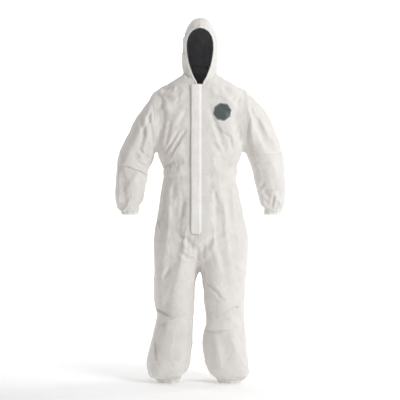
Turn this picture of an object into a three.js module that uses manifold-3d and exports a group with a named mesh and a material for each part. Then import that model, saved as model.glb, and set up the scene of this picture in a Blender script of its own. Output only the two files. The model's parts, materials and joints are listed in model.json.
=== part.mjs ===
// Chemical protective suit: a hooded one-piece coverall of thin nonwoven sheet, standing at its worn size.
// Millimetres, +Z up, the front faces -Y and the wearer's left is +X. The ankle hems stand on z = 0.
// Each panel is a thin shell cut from lofted bodies; the fold nodes are the soft stretches at each joint.
import * as THREE from 'three';
import { mergeVertices } from 'three/addons/utils/BufferGeometryUtils.js';
import Module from 'manifold-3d';

const wasm = await Module();
wasm.setup();

// Overall sizes
const legLength = 592; // floor to crotch
const trunkLength = 931; // crotch to the side of the neck
const hoodHeight = 277; // side of the neck to the crown
const chestHalfWidth = 214;
const hipHalfWidth = 237;
const waistHalfWidth = 180;
const forearmLength = 220; // elbow to the end of the cuff

// Sheet, seams and clearances
const wall = 1.6; // sheet with its seam allowances, as a solid shell
const seamGap = 0.3;
const halfGap = seamGap / 2;
const reach = 1500; // half the side of the large cutting solids

// Heights worked out from the overall sizes
const neckHeight = legLength + trunkLength;
const crownHeight = neckHeight + hoodHeight;
const shoulderHeight = neckHeight - 95;
const waistHeight = legLength + 406;

// Front opening: the zip and its storm flap lie on one straight, slightly sloping line
const zipTopHeight = neckHeight - 66;
const zipLength = 715;
const zipCentreX = -6;
const frontAtZipTop = 104; // distance of the front from the axis at the top of the zip
const frontSlope = 32 / 728; // how far the front comes forward for each millimetre down
const slideClearance = 0.3;
const slotHalfWidth = 7; // half the gap between the two front panels
const tapeWidth = 10;
const tapeThickness = 0.8;
const tapeSetback = 0.4; // tape behind the inner face of the panels
const chainGap = 1.6; // clear width between the two chains, where the slider's web runs
const chainWidth = 2.1;
const chainThickness = 2.3;
const stopHeight = 3;
const sliderHalfWidth = 5;
const sliderHeight = 11;
const plateThickness = 1.2;
const bailHole = 2.2;
const bailBar = 1;
const bailHalfWidth = 1;
const pullLength = 17;
const pullThickness = 1.2;
const pinThickness = 1.4;
const flapWidth = 49.5;
const flapLength = 728;
const flapThickness = 1.2;
const flapHeight = 10; // how far the flap stands over the slider
const flapCornerCut = 12;
const adhesiveWidth = 10;

// Neck, hood and face opening
const neckSlope = 0.4; // the neck seam rises to the back
const neckFoldHeight = 85;
const openingTop = crownHeight - 50;
const openingBottom = neckHeight - 60;
const faceHemWidth = 6;

// Limb joints
const armholeX = 218;
const armpitHeight = shoulderHeight - 303;
const shoulderFoldOuter = { x: 333, z: shoulderHeight - 133 };
const shoulderFoldInner = { x: 224, z: shoulderHeight - 298 };
const elbow = { x: 335, z: shoulderHeight - 333 };
const elbowFoldHalf = 60;
const elbowTilt = 0.247; // rise of the elbow fold for each millimetre outwards
const hipSlope = 0.575; // rise of the groin fold for each millimetre outwards
const hipFoldHeight = 92;
const kneeHeight = 370;
const kneeFoldHalf = 60;

// Elastic and labels
const elasticHeight = 10;
const elasticThickness = 2.5;
const waistElasticHeight = 8;
const waistElasticThickness = 1.2;
const waistElasticGap = 60; // the waist elastic stops this far each side of the zip
const labelAcross = 91;
const labelX = 108;
const labelHeight = neckHeight - 197;
const labelTurn = -10;
const labelThickness = 0.6;
const careLabel = { width: 36, height: 50, bottom: neckHeight - 83, thickness: 0.5 };

// Materials
const colour = (hex, roughness, metalness = 0) =>
	new THREE.MeshStandardMaterial({ color: hex, roughness, metalness });
const sheet = colour(0xe2e1de, 0.75);
const flapSheet = colour(0xe8e8e6, 0.7);
const foldSheet = colour(0xd3cfca, 0.8);
const lining = colour(0x1c1e1c, 0.9);
const elastic = colour(0xf0f0ee, 0.85);
const tapeCloth = colour(0xdcdcda, 0.85);
const coil = colour(0xcfcfcd, 0.45);
const zipMetal = colour(0xb9bbbb, 0.35, 0.9);
const labelFilm = colour(0x4b5a5c, 0.6);
const paper = colour(0xf3f1ea, 0.7);

const suit = new THREE.Group();

// --- solids ---------------------------------------------------------------------------------

function solidOf(geometry) {
	const plain = geometry.clone();
	plain.deleteAttribute('normal');
	plain.deleteAttribute('uv');
	const merged = mergeVertices(plain, 1e-4);
	return new wasm.Manifold(new wasm.Mesh({
		numProp: 3,
		vertProperties: new Float32Array(merged.attributes.position.array),
		triVerts: new Uint32Array(merged.index.array),
	}));
}

function geometryOf(solid) {
	const mesh = solid.getMesh();
	const geometry = new THREE.BufferGeometry();
	geometry.setAttribute('position', new THREE.BufferAttribute(mesh.vertProperties, 3));
	geometry.setIndex(new THREE.BufferAttribute(mesh.triVerts, 1));
	return geometry;
}

function addNode(name, geometry, material, parent = suit) {
	const mesh = new THREE.Mesh(geometry, material);
	mesh.name = name;
	parent.add(mesh);
}

// A seam that grazes a fold of the shell can shave a sliver off a panel; the panel is the main body.
function mainBody(solid) {
	return solid.decompose().reduce((largest, body) => (body.volume() > largest.volume() ? body : largest));
}

const addSolid = (name, solid, material, parent) => addNode(name, geometryOf(mainBody(solid)), material, parent);

function box(low, high) {
	const size = high.map((value, axis) => value - low[axis]);
	const geometry = new THREE.BoxGeometry(...size);
	geometry.translate(...high.map((value, axis) => (value + low[axis]) / 2));
	return solidOf(geometry);
}

// A prism through the suit from front to back; its outline is a list of [x, z] or a THREE.Shape.
function prism(outline, nearY = -reach, farY = reach) {
	const shape = outline instanceof THREE.Shape
		? outline
		: new THREE.Shape(outline.map(([x, z]) => new THREE.Vector2(x, z)));
	const geometry = new THREE.ExtrudeGeometry(shape, { depth: farY - nearY, bevelEnabled: false, curveSegments: 4 });
	geometry.rotateX(Math.PI / 2);
	geometry.translate(0, farY, 0);
	return solidOf(geometry);
}

// Everything above a plane that rises to the back by `slope` and crosses the axis at `height`.
function aboveSlope(height, slope) {
	const geometry = new THREE.BoxGeometry(2 * reach, 2 * reach, 2 * reach);
	geometry.translate(0, 0, reach);
	geometry.rotateX(Math.atan(slope));
	geometry.translate(0, 0, height);
	return solidOf(geometry);
}

// A closed loft through stations, highest first. Each station is an oval with its own centre,
// half width, depth to the front and to the back, squareness and tilt about the Y axis. `grow` moves the
// whole skin outwards, or inwards where it is negative, its two ends as well.
function loft(stations, segments, grow = 0) {
	const rows = stations.length - 1;
	const halfStep = Math.PI / segments;
	const geometry = new THREE.CylinderGeometry(1, 1, 1, segments, rows, false, halfStep);
	const position = geometry.attributes.position;
	for (let i = 0; i < position.count; i += 1) {
		const row = Math.round((0.5 - position.getY(i)) * rows);
		const { x, y = 0, z, halfWidth, front, back, power = 2.2, tilt = 0 } = stations[row];
		const sine = position.getX(i);
		const cosine = position.getZ(i);
		const squared = (value) => Math.sign(value) * Math.abs(value) ** (2 / power);
		const across = squared(sine) * (halfWidth + grow);
		const facet = Math.cos(halfStep) ** (2 / power); // the middle facet lies at the full depth
		const depth = -squared(cosine) / facet * ((cosine > 0 ? front : back) + grow);
		const capShift = row === 0 ? grow : row === rows ? -grow : 0;
		position.setXYZ(
			i,
			x + across * Math.cos(tilt) - capShift * Math.sin(tilt),
			y + depth,
			z + across * Math.sin(tilt) + capShift * Math.cos(tilt),
		);
	}
	return solidOf(geometry);
}

// --- stations of the lofted bodies ------------------------------------------------------------

const frontAt = (z) => frontAtZipTop + (zipTopHeight - z) * frontSlope;

// Trunk: [height above the crotch, half width, back depth, squareness]
const trunkStations = [
	[trunkLength + 30, 77, 88, 2.1],
	[trunkLength, 79, 92, 2.1],
	[trunkLength - 35, 131, 104, 2.2],
	[trunkLength - 70, 187, 114, 2.4],
	[trunkLength - 84, 204, 118, 2.5],
	[trunkLength - 96, chestHalfWidth, 121, 2.6],
	[trunkLength - 230, chestHalfWidth + 1, 130, 2.6],
	[trunkLength - 376, chestHalfWidth - 3, 125, 2.5],
	[505, waistHalfWidth + 4, 116, 2.4],
	[406, waistHalfWidth, 110, 2.4],
	[356, waistHalfWidth + 9, 114, 2.4],
	[262, 214, 128, 2.4],
	[158, hipHalfWidth - 5, 138, 2.5],
	[104, hipHalfWidth, 138, 2.5],
	[62, hipHalfWidth - 12, 122, 2.4],
	[26, hipHalfWidth - 62, 88, 2.3],
	[4, hipHalfWidth - 140, 40, 2.2],
].map(([rise, halfWidth, back, power]) => ({
	x: 0,
	z: legLength + rise,
	halfWidth,
	front: rise > 100 ? frontAt(legLength + rise) : back,
	back,
	power,
}));

// Hood: [height above the neck, half width, front depth, back depth]
const hoodStations = [
	[hoodHeight, 17, 24, 24],
	[hoodHeight - 7, 34, 50, 48],
	[hoodHeight - 20, 47, 76, 70],
	[hoodHeight - 50, 68, 104, 98],
	[hoodHeight - 79, 82, 119, 114],
	[hoodHeight - 109, 88, 127, 121],
	[hoodHeight - 158, 90, 129, 121],
	[hoodHeight - 208, 86, 122, 112],
	[hoodHeight - 238, 79, 112, 101],
	[10, 78, 104, 93],
	[-30, 76, 100, 88],
].map(([rise, halfWidth, front, back]) => ({ x: 0, z: neckHeight + rise, halfWidth, front, back, power: 2.1 }));

// Leg: [height, centre, half width, front depth, back depth]
const legStations = (side) => [
	[legLength + 118, 116, 106, 120, 118],
	[legLength + 48, 117, 113, 123, 124],
	[legLength, 117.5, 114, 119, 122],
	[513, 125, 100, 108, 112],
	[434, 124.5, 95, 101, 105],
	[354, 124, 92.5, 98, 101],
	[280, 130, 96.5, 99, 102],
	[205, 132, 105, 104, 105],
	[141, 131, 106, 106, 105],
	[100, 130, 104, 104, 102],
	[66, 129, 98, 98, 96],
	[40, 128.5, 84, 84, 82],
	[18, 128, 61, 62, 60],
	[0, 128, 44, 45, 44],
].map(([z, x, halfWidth, front, back]) => ({ x: side * x, z, halfWidth, front, back, power: 2.15 }));

// Sleeve: outer edge [x, z], inner edge [x, z] and half depth, heights from the shoulder point or the elbow
const sleeveStations = (side) => [
	[[150, 24], [150, -258], 74],
	[[240, -14], [206, -278], 87],
	[[290, -64], [214, -282], 86],
	[[333, -133], [224, -298], 84],
	[[361, -183], [237, -318], 82],
	[[401, -287], [252, -345], 80],
	[[420, -381], [264, -373], 78],
].map(([outer, inner, halfDepth]) => {
	const [width, rise] = [outer[0] - inner[0], outer[1] - inner[1]];
	return {
		x: side * (outer[0] + inner[0]) / 2,
		z: shoulderHeight + (outer[1] + inner[1]) / 2,
		halfWidth: Math.hypot(width, rise) / 2,
		front: halfDepth,
		back: halfDepth,
		tilt: side * Math.atan2(rise, width),
	};
}).concat([
	[0.42, 353, 72, 75],
	[0.7, 361, 64, 68],
	[0.86, 358, 56, 59],
	[0.965, 352, 41, 43],
	[1, 352, 38, 40],
].map(([share, x, halfWidth, halfDepth]) => ({
	x: side * x,
	z: shoulderHeight - 381 - forearmLength * share,
	halfWidth,
	front: halfDepth,
	back: halfDepth,
})));

// The inner solid of an open-ended body runs a little past its open end.
function openEnd(stations) {
	const last = stations[stations.length - 1];
	return [...stations, { ...last, z: last.z - 20 }];
}

const segments = { trunk: 28, hood: 24, leg: 20, sleeve: 16 };
const sides = [['left', 1], ['right', -1]];

const outerLegs = Object.fromEntries(sides.map(([name, side]) => [name, loft(legStations(side), segments.leg)]));
const outerSleeves = Object.fromEntries(
	sides.map(([name, side]) => [name, loft(sleeveStations(side), segments.sleeve)]),
);
const limbsWithin = (depth) => sides.flatMap(([, side]) => [
	loft(openEnd(legStations(side)), segments.leg, -depth),
	loft(openEnd(sleeveStations(side)), segments.sleeve, -depth),
]);
const join = (solids) => solids.reduce((whole, solid) => whole.add(solid));

const outside = join([
	loft(trunkStations, segments.trunk),
	loft(hoodStations, segments.hood),
	...Object.values(outerLegs),
	...Object.values(outerSleeves),
]);
const within = (depth) => join([
	loft(trunkStations, segments.trunk, -depth),
	loft(hoodStations, segments.hood, -depth),
	...limbsWithin(depth),
]);
const inside = within(wall);
const shell = outside.subtract(inside);

// --- face opening -------------------------------------------------------------------------------

// An egg-shaped outline, widest at the cheeks, with a narrow flat chin at the top of the zip.
function faceOutline(grow) {
	const height = openingTop - openingBottom;
	const at = (share) => openingBottom + height * share;
	const points = [
		[14 + grow, openingBottom - grow],
		[34 + grow, at(0.165)],
		[55 + grow, at(0.38)],
		[67 + grow, at(0.64)],
		[58 + grow, at(0.868)],
		[30 + grow * 0.7, at(0.975) + grow * 0.7],
		[0, openingTop + grow],
	].map(([x, z]) => new THREE.Vector2(x, z));
	const mirrored = points.slice(0, -1).reverse().map(({ x, y }) => new THREE.Vector2(-x, y));
	const shape = new THREE.Shape();
	shape.moveTo(-points[0].x, points[0].y);
	shape.lineTo(points[0].x, points[0].y);
	shape.splineThru([...points.slice(1), ...mirrored]);
	return shape;
}

const faceOpening = prism(faceOutline(0), -reach, 0);
const faceHemOutside = prism(faceOutline(faceHemWidth), -reach, 0);
const hoodCut = prism(faceOutline(faceHemWidth + seamGap), -reach, 0);

// --- regions that split the shell at its seams ----------------------------------------------------

const neckSeam = neckHeight - 13;
const foldRise = neckFoldHeight * Math.hypot(1, neckSlope);
const aboveNeckSeam = aboveSlope(neckSeam + halfGap, neckSlope);
const belowNeckSeam = (solid) => solid.subtract(aboveSlope(neckSeam - halfGap, neckSlope));
const aboveNeckFold = aboveSlope(neckSeam + foldRise + seamGap, neckSlope);
const belowNeckFold = (solid) => solid.subtract(aboveSlope(neckSeam + foldRise, neckSlope));

const wide = 300; // beyond the widest side of the trunk and legs
const cuffHeight = shoulderHeight - 381 - forearmLength;
const groinAt = (x, drop = 0) => legLength + hipSlope * Math.abs(x) - drop;
const trunkRegion = prism([
	[0, groinAt(0) + halfGap],
	[wide, groinAt(wide) + halfGap],
	[wide, cuffHeight],
	[armholeX - halfGap, armpitHeight],
	[armholeX - halfGap, crownHeight],
	[halfGap - armholeX, crownHeight],
	[halfGap - armholeX, armpitHeight],
	[-wide, cuffHeight],
	[-wide, groinAt(wide) + halfGap],
]);
const sided = (side, points) => {
	const placed = points.map(([x, z]) => [side * x, z]);
	return prism(side > 0 ? placed : placed.reverse());
};
const hipFoldRegion = (side) => sided(side, [
	[halfGap, groinAt(0, hipFoldHeight)],
	[wide, groinAt(wide, hipFoldHeight)],
	[wide, groinAt(wide) - halfGap],
	[halfGap, groinAt(0) - halfGap],
]);
const thighRegion = (side) => sided(side, [
	[0, kneeHeight + kneeFoldHalf + seamGap],
	[wide, kneeHeight + kneeFoldHalf + seamGap],
	[wide, groinAt(wide, hipFoldHeight) - seamGap],
	[0, groinAt(0, hipFoldHeight) - seamGap],
]);
const band = (side, low, high) => sided(side, [[0, low], [wide, low], [wide, high], [0, high]]);

const farOut = 560; // beyond the widest side of the sleeves
const foldLineSlope = (shoulderFoldOuter.z - shoulderFoldInner.z) / (shoulderFoldOuter.x - shoulderFoldInner.x);
const foldLine = (x) => shoulderFoldInner.z + foldLineSlope * (x - shoulderFoldInner.x);
const elbowLine = (x, offset) => elbow.z + elbowTilt * (x - elbow.x) + offset * Math.hypot(1, elbowTilt);
const shoulderFoldRegion = (side) => sided(side, [
	[armholeX + halfGap, foldLine(armholeX)],
	[farOut, foldLine(farOut)],
	[armholeX + halfGap, foldLine(farOut)],
]);
const underarm = (foldLine(0) - elbowLine(0, elbowFoldHalf) - 3 * seamGap) / (elbowTilt - foldLineSlope);
const upperSleeveRegion = (side) => sided(side, [
	[underarm, elbowLine(underarm, elbowFoldHalf) + seamGap],
	[farOut, elbowLine(farOut, elbowFoldHalf) + seamGap],
	[farOut, foldLine(farOut) - 2 * seamGap],
]);
const elbowFoldRegion = (side) => sided(side, [
	[armholeX + 5, elbowLine(armholeX + 5, -elbowFoldHalf)],
	[farOut, elbowLine(farOut, -elbowFoldHalf)],
	[farOut, elbowLine(farOut, elbowFoldHalf)],
	[armholeX + 5, elbowLine(armholeX + 5, elbowFoldHalf)],
]);
const forearmInner = 240;
const lowerSleeveRegion = (side) => sided(side, [
	[forearmInner, cuffHeight - 30],
	[farOut, cuffHeight - 30],
	[farOut, elbowLine(farOut, -elbowFoldHalf) - seamGap],
	[forearmInner, elbowLine(forearmInner, -elbowFoldHalf) - seamGap],
]);

const frontHalf = box([-reach, -reach, -10], [reach, -halfGap, crownHeight + 10]);
const backHalf = box([-reach, halfGap, -10], [reach, reach, crownHeight + 10]);

// --- trunk --------------------------------------------------------------------------------------

function addTrunk() {
	const trunk = belowNeckSeam(shell.intersect(trunkRegion)).subtract(faceOpening);
	const front = trunk.intersect(frontHalf);
	const back = trunk.intersect(backHalf);
	const zipSlot = box(
		[zipCentreX - slotHalfWidth, -reach, zipTopHeight - zipLength - seamGap],
		[zipCentreX + slotHalfWidth, 0, crownHeight],
	);
	const seams = { front: zipCentreX, back: 0 };
	const halfAt = (side, x) => (side > 0
		? box([x + halfGap, -reach, -10], [reach, reach, crownHeight])
		: box([-reach, -reach, -10], [x - halfGap, reach, crownHeight]));
	for (const [name, side] of sides) {
		addSolid(`front_panel_${name}`, front.intersect(halfAt(side, seams.front)).subtract(zipSlot), sheet);
		addSolid(`back_panel_${name}`, back.intersect(halfAt(side, seams.back)), sheet);
	}

	const ringLow = waistHeight - waistElasticHeight / 2;
	const ringBox = box([-reach, -reach, ringLow], [reach, reach, ringLow + waistElasticHeight]);
	const ringDepth = wall + seamGap;
	const waistRing = loft(trunkStations, segments.trunk, -ringDepth)
		.subtract(loft(trunkStations, segments.trunk, -ringDepth - waistElasticThickness))
		.intersect(ringBox)
		.subtract(box(
			[zipCentreX - waistElasticGap, -reach, 0],
			[zipCentreX + waistElasticGap, 0, crownHeight],
		));
	addSolid('waist_elastic', waistRing, elastic);

	const octagon = Array.from({ length: 8 }, (_, corner) => {
		const angle = THREE.MathUtils.degToRad(22.5 + labelTurn + corner * 45);
		const radius = labelAcross / 2 / Math.cos(Math.PI / 8);
		return [labelX + radius * Math.cos(angle), labelHeight + radius * Math.sin(angle)];
	});
	const label = loft(trunkStations, segments.trunk, seamGap + labelThickness)
		.subtract(loft(trunkStations, segments.trunk, seamGap))
		.intersect(prism(octagon, -reach, 0));
	addSolid('chest_label', label, labelFilm);

	const { width, height, bottom, thickness } = careLabel;
	const sizeLabel = loft(trunkStations, segments.trunk, -ringDepth)
		.subtract(loft(trunkStations, segments.trunk, -ringDepth - thickness))
		.intersect(box([-width / 2, 0, bottom], [width / 2, reach, bottom + height]));
	addSolid('size_label', sizeLabel, paper);
}

// --- zip and storm flap ---------------------------------------------------------------------------

// Everything here lies in the sloping frame of the zip: z = 0 is its top end, -y is outwards.
function addFrontClosure() {
	const closure = new THREE.Group();
	closure.position.set(zipCentreX, -frontAtZipTop, zipTopHeight);
	closure.rotation.x = -Math.atan(frontSlope);
	suit.add(closure);

	const chainInner = chainGap / 2;
	const chainOuter = chainInner + chainWidth;
	const tapeFront = wall + tapeSetback;
	const chainFront = tapeFront + tapeThickness / 2 - chainThickness / 2;
	const chainBack = chainFront + chainThickness;
	const chainTop = -stopHeight - seamGap;
	const chainBottom = -zipLength + stopHeight + seamGap;
	for (const [name, side] of sides) {
		const strip = (inner, outer, front, back, low, high) => {
			const [a, b] = [side * inner, side * outer].sort((p, q) => p - q);
			return box([a, front, low], [b, back, high]);
		};
		const tapeInner = chainOuter + seamGap;
		addSolid(`zip_tape_${name}`, strip(
			tapeInner, tapeInner + tapeWidth, tapeFront, tapeFront + tapeThickness, -zipLength, 0,
		), tapeCloth, closure);
		addSolid(`zip_teeth_${name}`, strip(
			chainInner, chainOuter, chainFront, chainBack, chainBottom, chainTop,
		), coil, closure);
		addSolid(`zip_top_stop_${name}`, strip(
			chainInner, chainOuter, chainFront, chainBack, -stopHeight, 0,
		), zipMetal, closure);
	}
	addSolid('zip_bottom_stop', box(
		[-chainOuter, chainFront, -zipLength],
		[chainOuter, chainBack, -zipLength + stopHeight],
	), zipMetal, closure);

	// Slider: a front and a back plate joined by a thin web, with a bail for the pull
	const sliderTop = -stopHeight - slideClearance;
	const sliderBottom = sliderTop - sliderHeight;
	const frontPlate = chainFront - slideClearance;
	const backPlate = chainBack + slideClearance;
	const web = chainGap / 2 - slideClearance;
	const bailMiddle = sliderTop - sliderHeight * 0.55;
	const bailReach = bailHole + bailBar;
	const bailEnd = bailHole / 2 + bailBar;
	const slider = join([
		box([-sliderHalfWidth, frontPlate - plateThickness, sliderBottom], [sliderHalfWidth, frontPlate, sliderTop]),
		box([-sliderHalfWidth, backPlate, sliderBottom], [sliderHalfWidth, backPlate + plateThickness, sliderTop]),
		box([-web, frontPlate - 0.1, sliderTop - 4], [web, backPlate + 0.1, sliderTop]),
		box(
			[-bailHalfWidth, frontPlate - plateThickness - bailReach, bailMiddle - bailEnd],
			[bailHalfWidth, frontPlate - plateThickness + 0.1, bailMiddle + bailEnd],
		).subtract(box(
			[-bailHalfWidth - 1, frontPlate - plateThickness - bailHole, bailMiddle - bailHole / 2],
			[bailHalfWidth + 1, frontPlate - plateThickness, bailMiddle + bailHole / 2],
		)),
	]);
	addSolid('zip_slider', slider, zipMetal, closure);

	// Pull: two arms and a grip hang from a pin that lies through the bail
	const pinY = frontPlate - plateThickness - bailHole / 2;
	const armInner = bailHalfWidth + 0.5;
	const armOuter = armInner + 1.3;
	const pinHalf = pinThickness / 2;
	const gripTop = bailMiddle - bailEnd - 1.6;
	const pullBack = pinY + pinHalf;
	const pull = join([
		box([-armOuter, pinY - pinHalf, bailMiddle - pinHalf], [armOuter, pullBack, bailMiddle + pinHalf]),
		...[-1, 1].map((side) => {
			const [a, b] = [side * armInner, side * armOuter].sort((p, q) => p - q);
			return box([a, pullBack - pullThickness, gripTop - 1], [b, pullBack, bailMiddle + pinHalf]);
		}),
		box([-armOuter, pullBack - pullThickness, bailMiddle - pullLength], [armOuter, pullBack, gripTop]),
	]);
	addSolid('zip_pull', pull, zipMetal, closure);

	// Storm flap: sewn at its left edge, arched over the zip, with cut corners at its lower end
	const sewn = slotHalfWidth + 6.5;
	const free = sewn - flapWidth;
	const arch = flapHeight - flapThickness;
	const profile = new THREE.Shape([
		[sewn, -seamGap], [sewn - 2.5, -flapHeight / 2], [sewn - 7, -flapHeight],
		[free + 12, -flapHeight], [free, -seamGap * 2],
		[free + 1.6, -seamGap * 2], [free + 12.6, -arch],
		[sewn - 7.6, -arch], [sewn - 3.8, -flapHeight / 2], [sewn - 1.3, -seamGap],
	].map(([x, y]) => new THREE.Vector2(x, y)));
	const flapTop = 4;
	const flapBottom = flapTop - flapLength;
	const strip = new THREE.ExtrudeGeometry(profile, { depth: flapLength, bevelEnabled: false });
	strip.translate(0, 0, flapBottom);
	const outline = prism([
		[free + 8, flapBottom], [sewn - flapCornerCut, flapBottom], [sewn + 1, flapBottom + flapCornerCut],
		[sewn + 1, flapTop + 1], [free - 1, flapTop + 1], [free - 1, flapBottom + flapCornerCut],
	]);
	addSolid('storm_flap', solidOf(strip).intersect(outline), flapSheet, closure);
	addSolid('flap_adhesive_tape', box(
		[free + 14, -arch + seamGap, flapBottom + 20],
		[free + 14 + adhesiveWidth, -arch + 2 * seamGap, flapTop - 20],
	), paper, closure);
}

// --- hood ---------------------------------------------------------------------------------------

function addHood() {
	const hood = shell.intersect(aboveNeckFold);
	for (const [name, side] of sides) {
		const half = side > 0
			? box([halfGap, -reach, 0], [reach, reach, 2 * crownHeight])
			: box([-reach, -reach, 0], [-halfGap, reach, 2 * crownHeight]);
		addSolid(`hood_panel_${name}`, hood.subtract(hoodCut).intersect(half), sheet);
	}
	addSolid('face_elastic', hood.intersect(faceHemOutside).subtract(faceOpening), elastic);
	const liningDepth = wall + seamGap;
	const hoodLining = loft(hoodStations, segments.hood, -liningDepth)
		.subtract(loft(hoodStations, segments.hood, -liningDepth - 0.8))
		.intersect(aboveNeckFold)
		.subtract(faceHemOutside);
	addSolid('hood_lining', hoodLining, lining);
	const neck = belowNeckFold(shell.intersect(aboveNeckSeam)).subtract(faceOpening);
	const collar = prism([[-armholeX, 0], [armholeX, 0], [armholeX, 2 * crownHeight], [-armholeX, 2 * crownHeight]]);
	addSolid('hood_neck_fold', neck.intersect(collar), foldSheet);
}

// --- sleeves and legs -------------------------------------------------------------------------------

function addSleeve(name, side) {
	const sleeve = outerSleeves[name].subtract(inside);
	addSolid(`shoulder_fold_${name}`, sleeve.intersect(shoulderFoldRegion(side)), foldSheet);
	addSolid(`upper_sleeve_${name}`, sleeve.intersect(upperSleeveRegion(side)), sheet);
	addSolid(`elbow_fold_${name}`, sleeve.intersect(elbowFoldRegion(side)), foldSheet);
	addSolid(`lower_sleeve_${name}`, sleeve.intersect(lowerSleeveRegion(side)), sheet);
	const depth = wall + seamGap;
	const stations = openEnd(sleeveStations(side));
	const cuff = loft(stations, segments.sleeve, -depth)
		.subtract(loft(stations, segments.sleeve, -depth - elasticThickness))
		.intersect(box([-farOut, -reach, cuffHeight], [farOut, reach, cuffHeight + elasticHeight]));
	addSolid(`wrist_elastic_${name}`, cuff, elastic);
}

function addLeg(name, side) {
	const legs = shell.intersect(band(side, -10, groinAt(wide) + 10));
	const halves = [['front', frontHalf], ['back', backHalf]];
	addSolid(`hip_fold_${name}`, legs.intersect(hipFoldRegion(side)), foldSheet);
	const kneeLow = kneeHeight - kneeFoldHalf;
	addSolid(`knee_fold_${name}`, legs.intersect(band(side, kneeLow, kneeHeight + kneeFoldHalf)), foldSheet);
	for (const [half, region] of halves) {
		addSolid(`thigh_${half}_${name}`, legs.intersect(thighRegion(side)).intersect(region), sheet);
		addSolid(`shin_${half}_${name}`, legs.intersect(band(side, -10, kneeLow - seamGap)).intersect(region), sheet);
	}
	const depth = wall + seamGap;
	const stations = openEnd(legStations(side));
	const hem = loft(stations, segments.leg, -depth)
		.subtract(loft(stations, segments.leg, -depth - elasticThickness))
		.intersect(box([-reach, -reach, 0], [reach, reach, elasticHeight]));
	addSolid(`ankle_elastic_${name}`, hem, elastic);
}

addTrunk();
addFrontClosure();
addHood();
for (const [name, side] of sides) {
	addSleeve(name, side);
	addLeg(name, side);
}

// The suit stands with the middle of its box on the axis.
suit.updateMatrixWorld(true);
const bounds = new THREE.Box3().setFromObject(suit);
suit.position.y = -(bounds.min.y + bounds.max.y) / 2;

export default suit;
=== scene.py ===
# Chemical protective suit: a hooded white nonwoven coverall, filled out as it is worn and standing on its hems.
# Metres, +Z up, the front faces -Y and the wearer's left is +X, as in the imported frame.
import bisect
import json
import math
import random

import bmesh
import bpy
import numpy as np
from mathutils import Matrix, Vector, noise
from mathutils.bvhtree import BVHTree
from mathutils.kdtree import KDTree

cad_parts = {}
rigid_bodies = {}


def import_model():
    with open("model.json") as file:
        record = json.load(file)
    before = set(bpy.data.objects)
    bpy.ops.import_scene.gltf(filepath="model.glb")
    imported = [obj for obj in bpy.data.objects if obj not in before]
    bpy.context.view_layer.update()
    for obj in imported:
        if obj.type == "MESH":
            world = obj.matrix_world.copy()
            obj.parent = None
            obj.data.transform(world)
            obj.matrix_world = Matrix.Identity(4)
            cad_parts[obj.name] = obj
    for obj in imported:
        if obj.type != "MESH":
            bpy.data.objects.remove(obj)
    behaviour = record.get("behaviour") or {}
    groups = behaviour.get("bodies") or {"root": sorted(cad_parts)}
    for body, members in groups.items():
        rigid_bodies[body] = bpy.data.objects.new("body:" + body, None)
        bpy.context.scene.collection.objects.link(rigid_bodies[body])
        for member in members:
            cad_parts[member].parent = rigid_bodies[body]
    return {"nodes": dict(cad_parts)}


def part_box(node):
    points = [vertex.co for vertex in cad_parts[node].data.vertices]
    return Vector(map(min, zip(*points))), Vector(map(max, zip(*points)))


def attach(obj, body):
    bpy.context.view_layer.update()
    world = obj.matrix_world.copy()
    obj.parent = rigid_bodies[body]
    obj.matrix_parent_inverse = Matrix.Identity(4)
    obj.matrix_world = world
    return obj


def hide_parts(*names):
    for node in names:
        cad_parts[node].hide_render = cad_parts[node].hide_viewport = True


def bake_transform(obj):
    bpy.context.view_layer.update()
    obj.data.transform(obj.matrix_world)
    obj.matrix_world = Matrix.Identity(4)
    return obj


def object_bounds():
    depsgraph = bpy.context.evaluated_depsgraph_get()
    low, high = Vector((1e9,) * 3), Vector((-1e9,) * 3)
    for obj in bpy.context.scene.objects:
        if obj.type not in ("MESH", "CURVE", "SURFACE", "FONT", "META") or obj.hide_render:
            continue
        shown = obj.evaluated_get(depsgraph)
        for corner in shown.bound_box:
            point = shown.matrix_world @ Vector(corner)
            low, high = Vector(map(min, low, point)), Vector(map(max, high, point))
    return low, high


MM = 0.001

for leftover in list(bpy.data.objects):
    bpy.data.objects.remove(leftover)
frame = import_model()
cad_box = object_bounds()

# --- Camera ---------------------------------------------------------------------------------------
# A long lens square to the front, so that the suit is seen almost without perspective and fills
# the height of the picture with a little room above and below.
suit_low, suit_high = (Vector(corner) for corner in cad_box)
suit_height = suit_high.z - suit_low.z
camera_data = bpy.data.cameras.new("camera")
camera_data.lens = 85
camera_data.sensor_width = 36
camera = bpy.data.objects.new("camera", camera_data)
picture_height = 1.1 * suit_height  # height of the picture at the suit
camera_distance = picture_height * camera_data.lens / camera_data.sensor_width
camera.location = (0, -camera_distance, suit_low.z + 0.4995 * suit_height)
camera.rotation_euler = (math.pi / 2, 0, 0)
bpy.context.collection.objects.link(camera)
bpy.context.scene.camera = camera

# --- Body of the suit: the sheet before it is sewn -----------------------------------------------------
# The coverall is thin film-laminated spunbond polypropylene. It is formed here as one skin over the
# shape that a wearer gives it, and cut into its panels afterwards along the real seams.
middle_y = sum(corner.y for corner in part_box("wrist_elastic_left")) / 2
trunk_low, trunk_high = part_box("front_panel_left")
skin_voxel = 8 * MM


def smooth_rows(rows, spacing):
    """Catmull-Rom rows through the given ones, about `spacing` apart."""
    rows = [np.array(row, float) for row in rows]
    out = []
    padded = [2 * rows[0] - rows[1]] + rows + [2 * rows[-1] - rows[-2]]
    for before, start, end, after in zip(padded, padded[1:], padded[2:], padded[3:]):
        length = abs(end[2] - start[2]) + abs(end[0] - start[0])
        steps = max(1, int(length / spacing))
        for step in range(steps):
            t = step / steps
            out.append(0.5 * (
                2 * start + (end - before) * t
                + (2 * before - 5 * start + 4 * end - after) * t ** 2
                + (3 * start - 3 * end + after - before) * t ** 3
            ))
    out.append(rows[-1])
    return out


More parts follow.
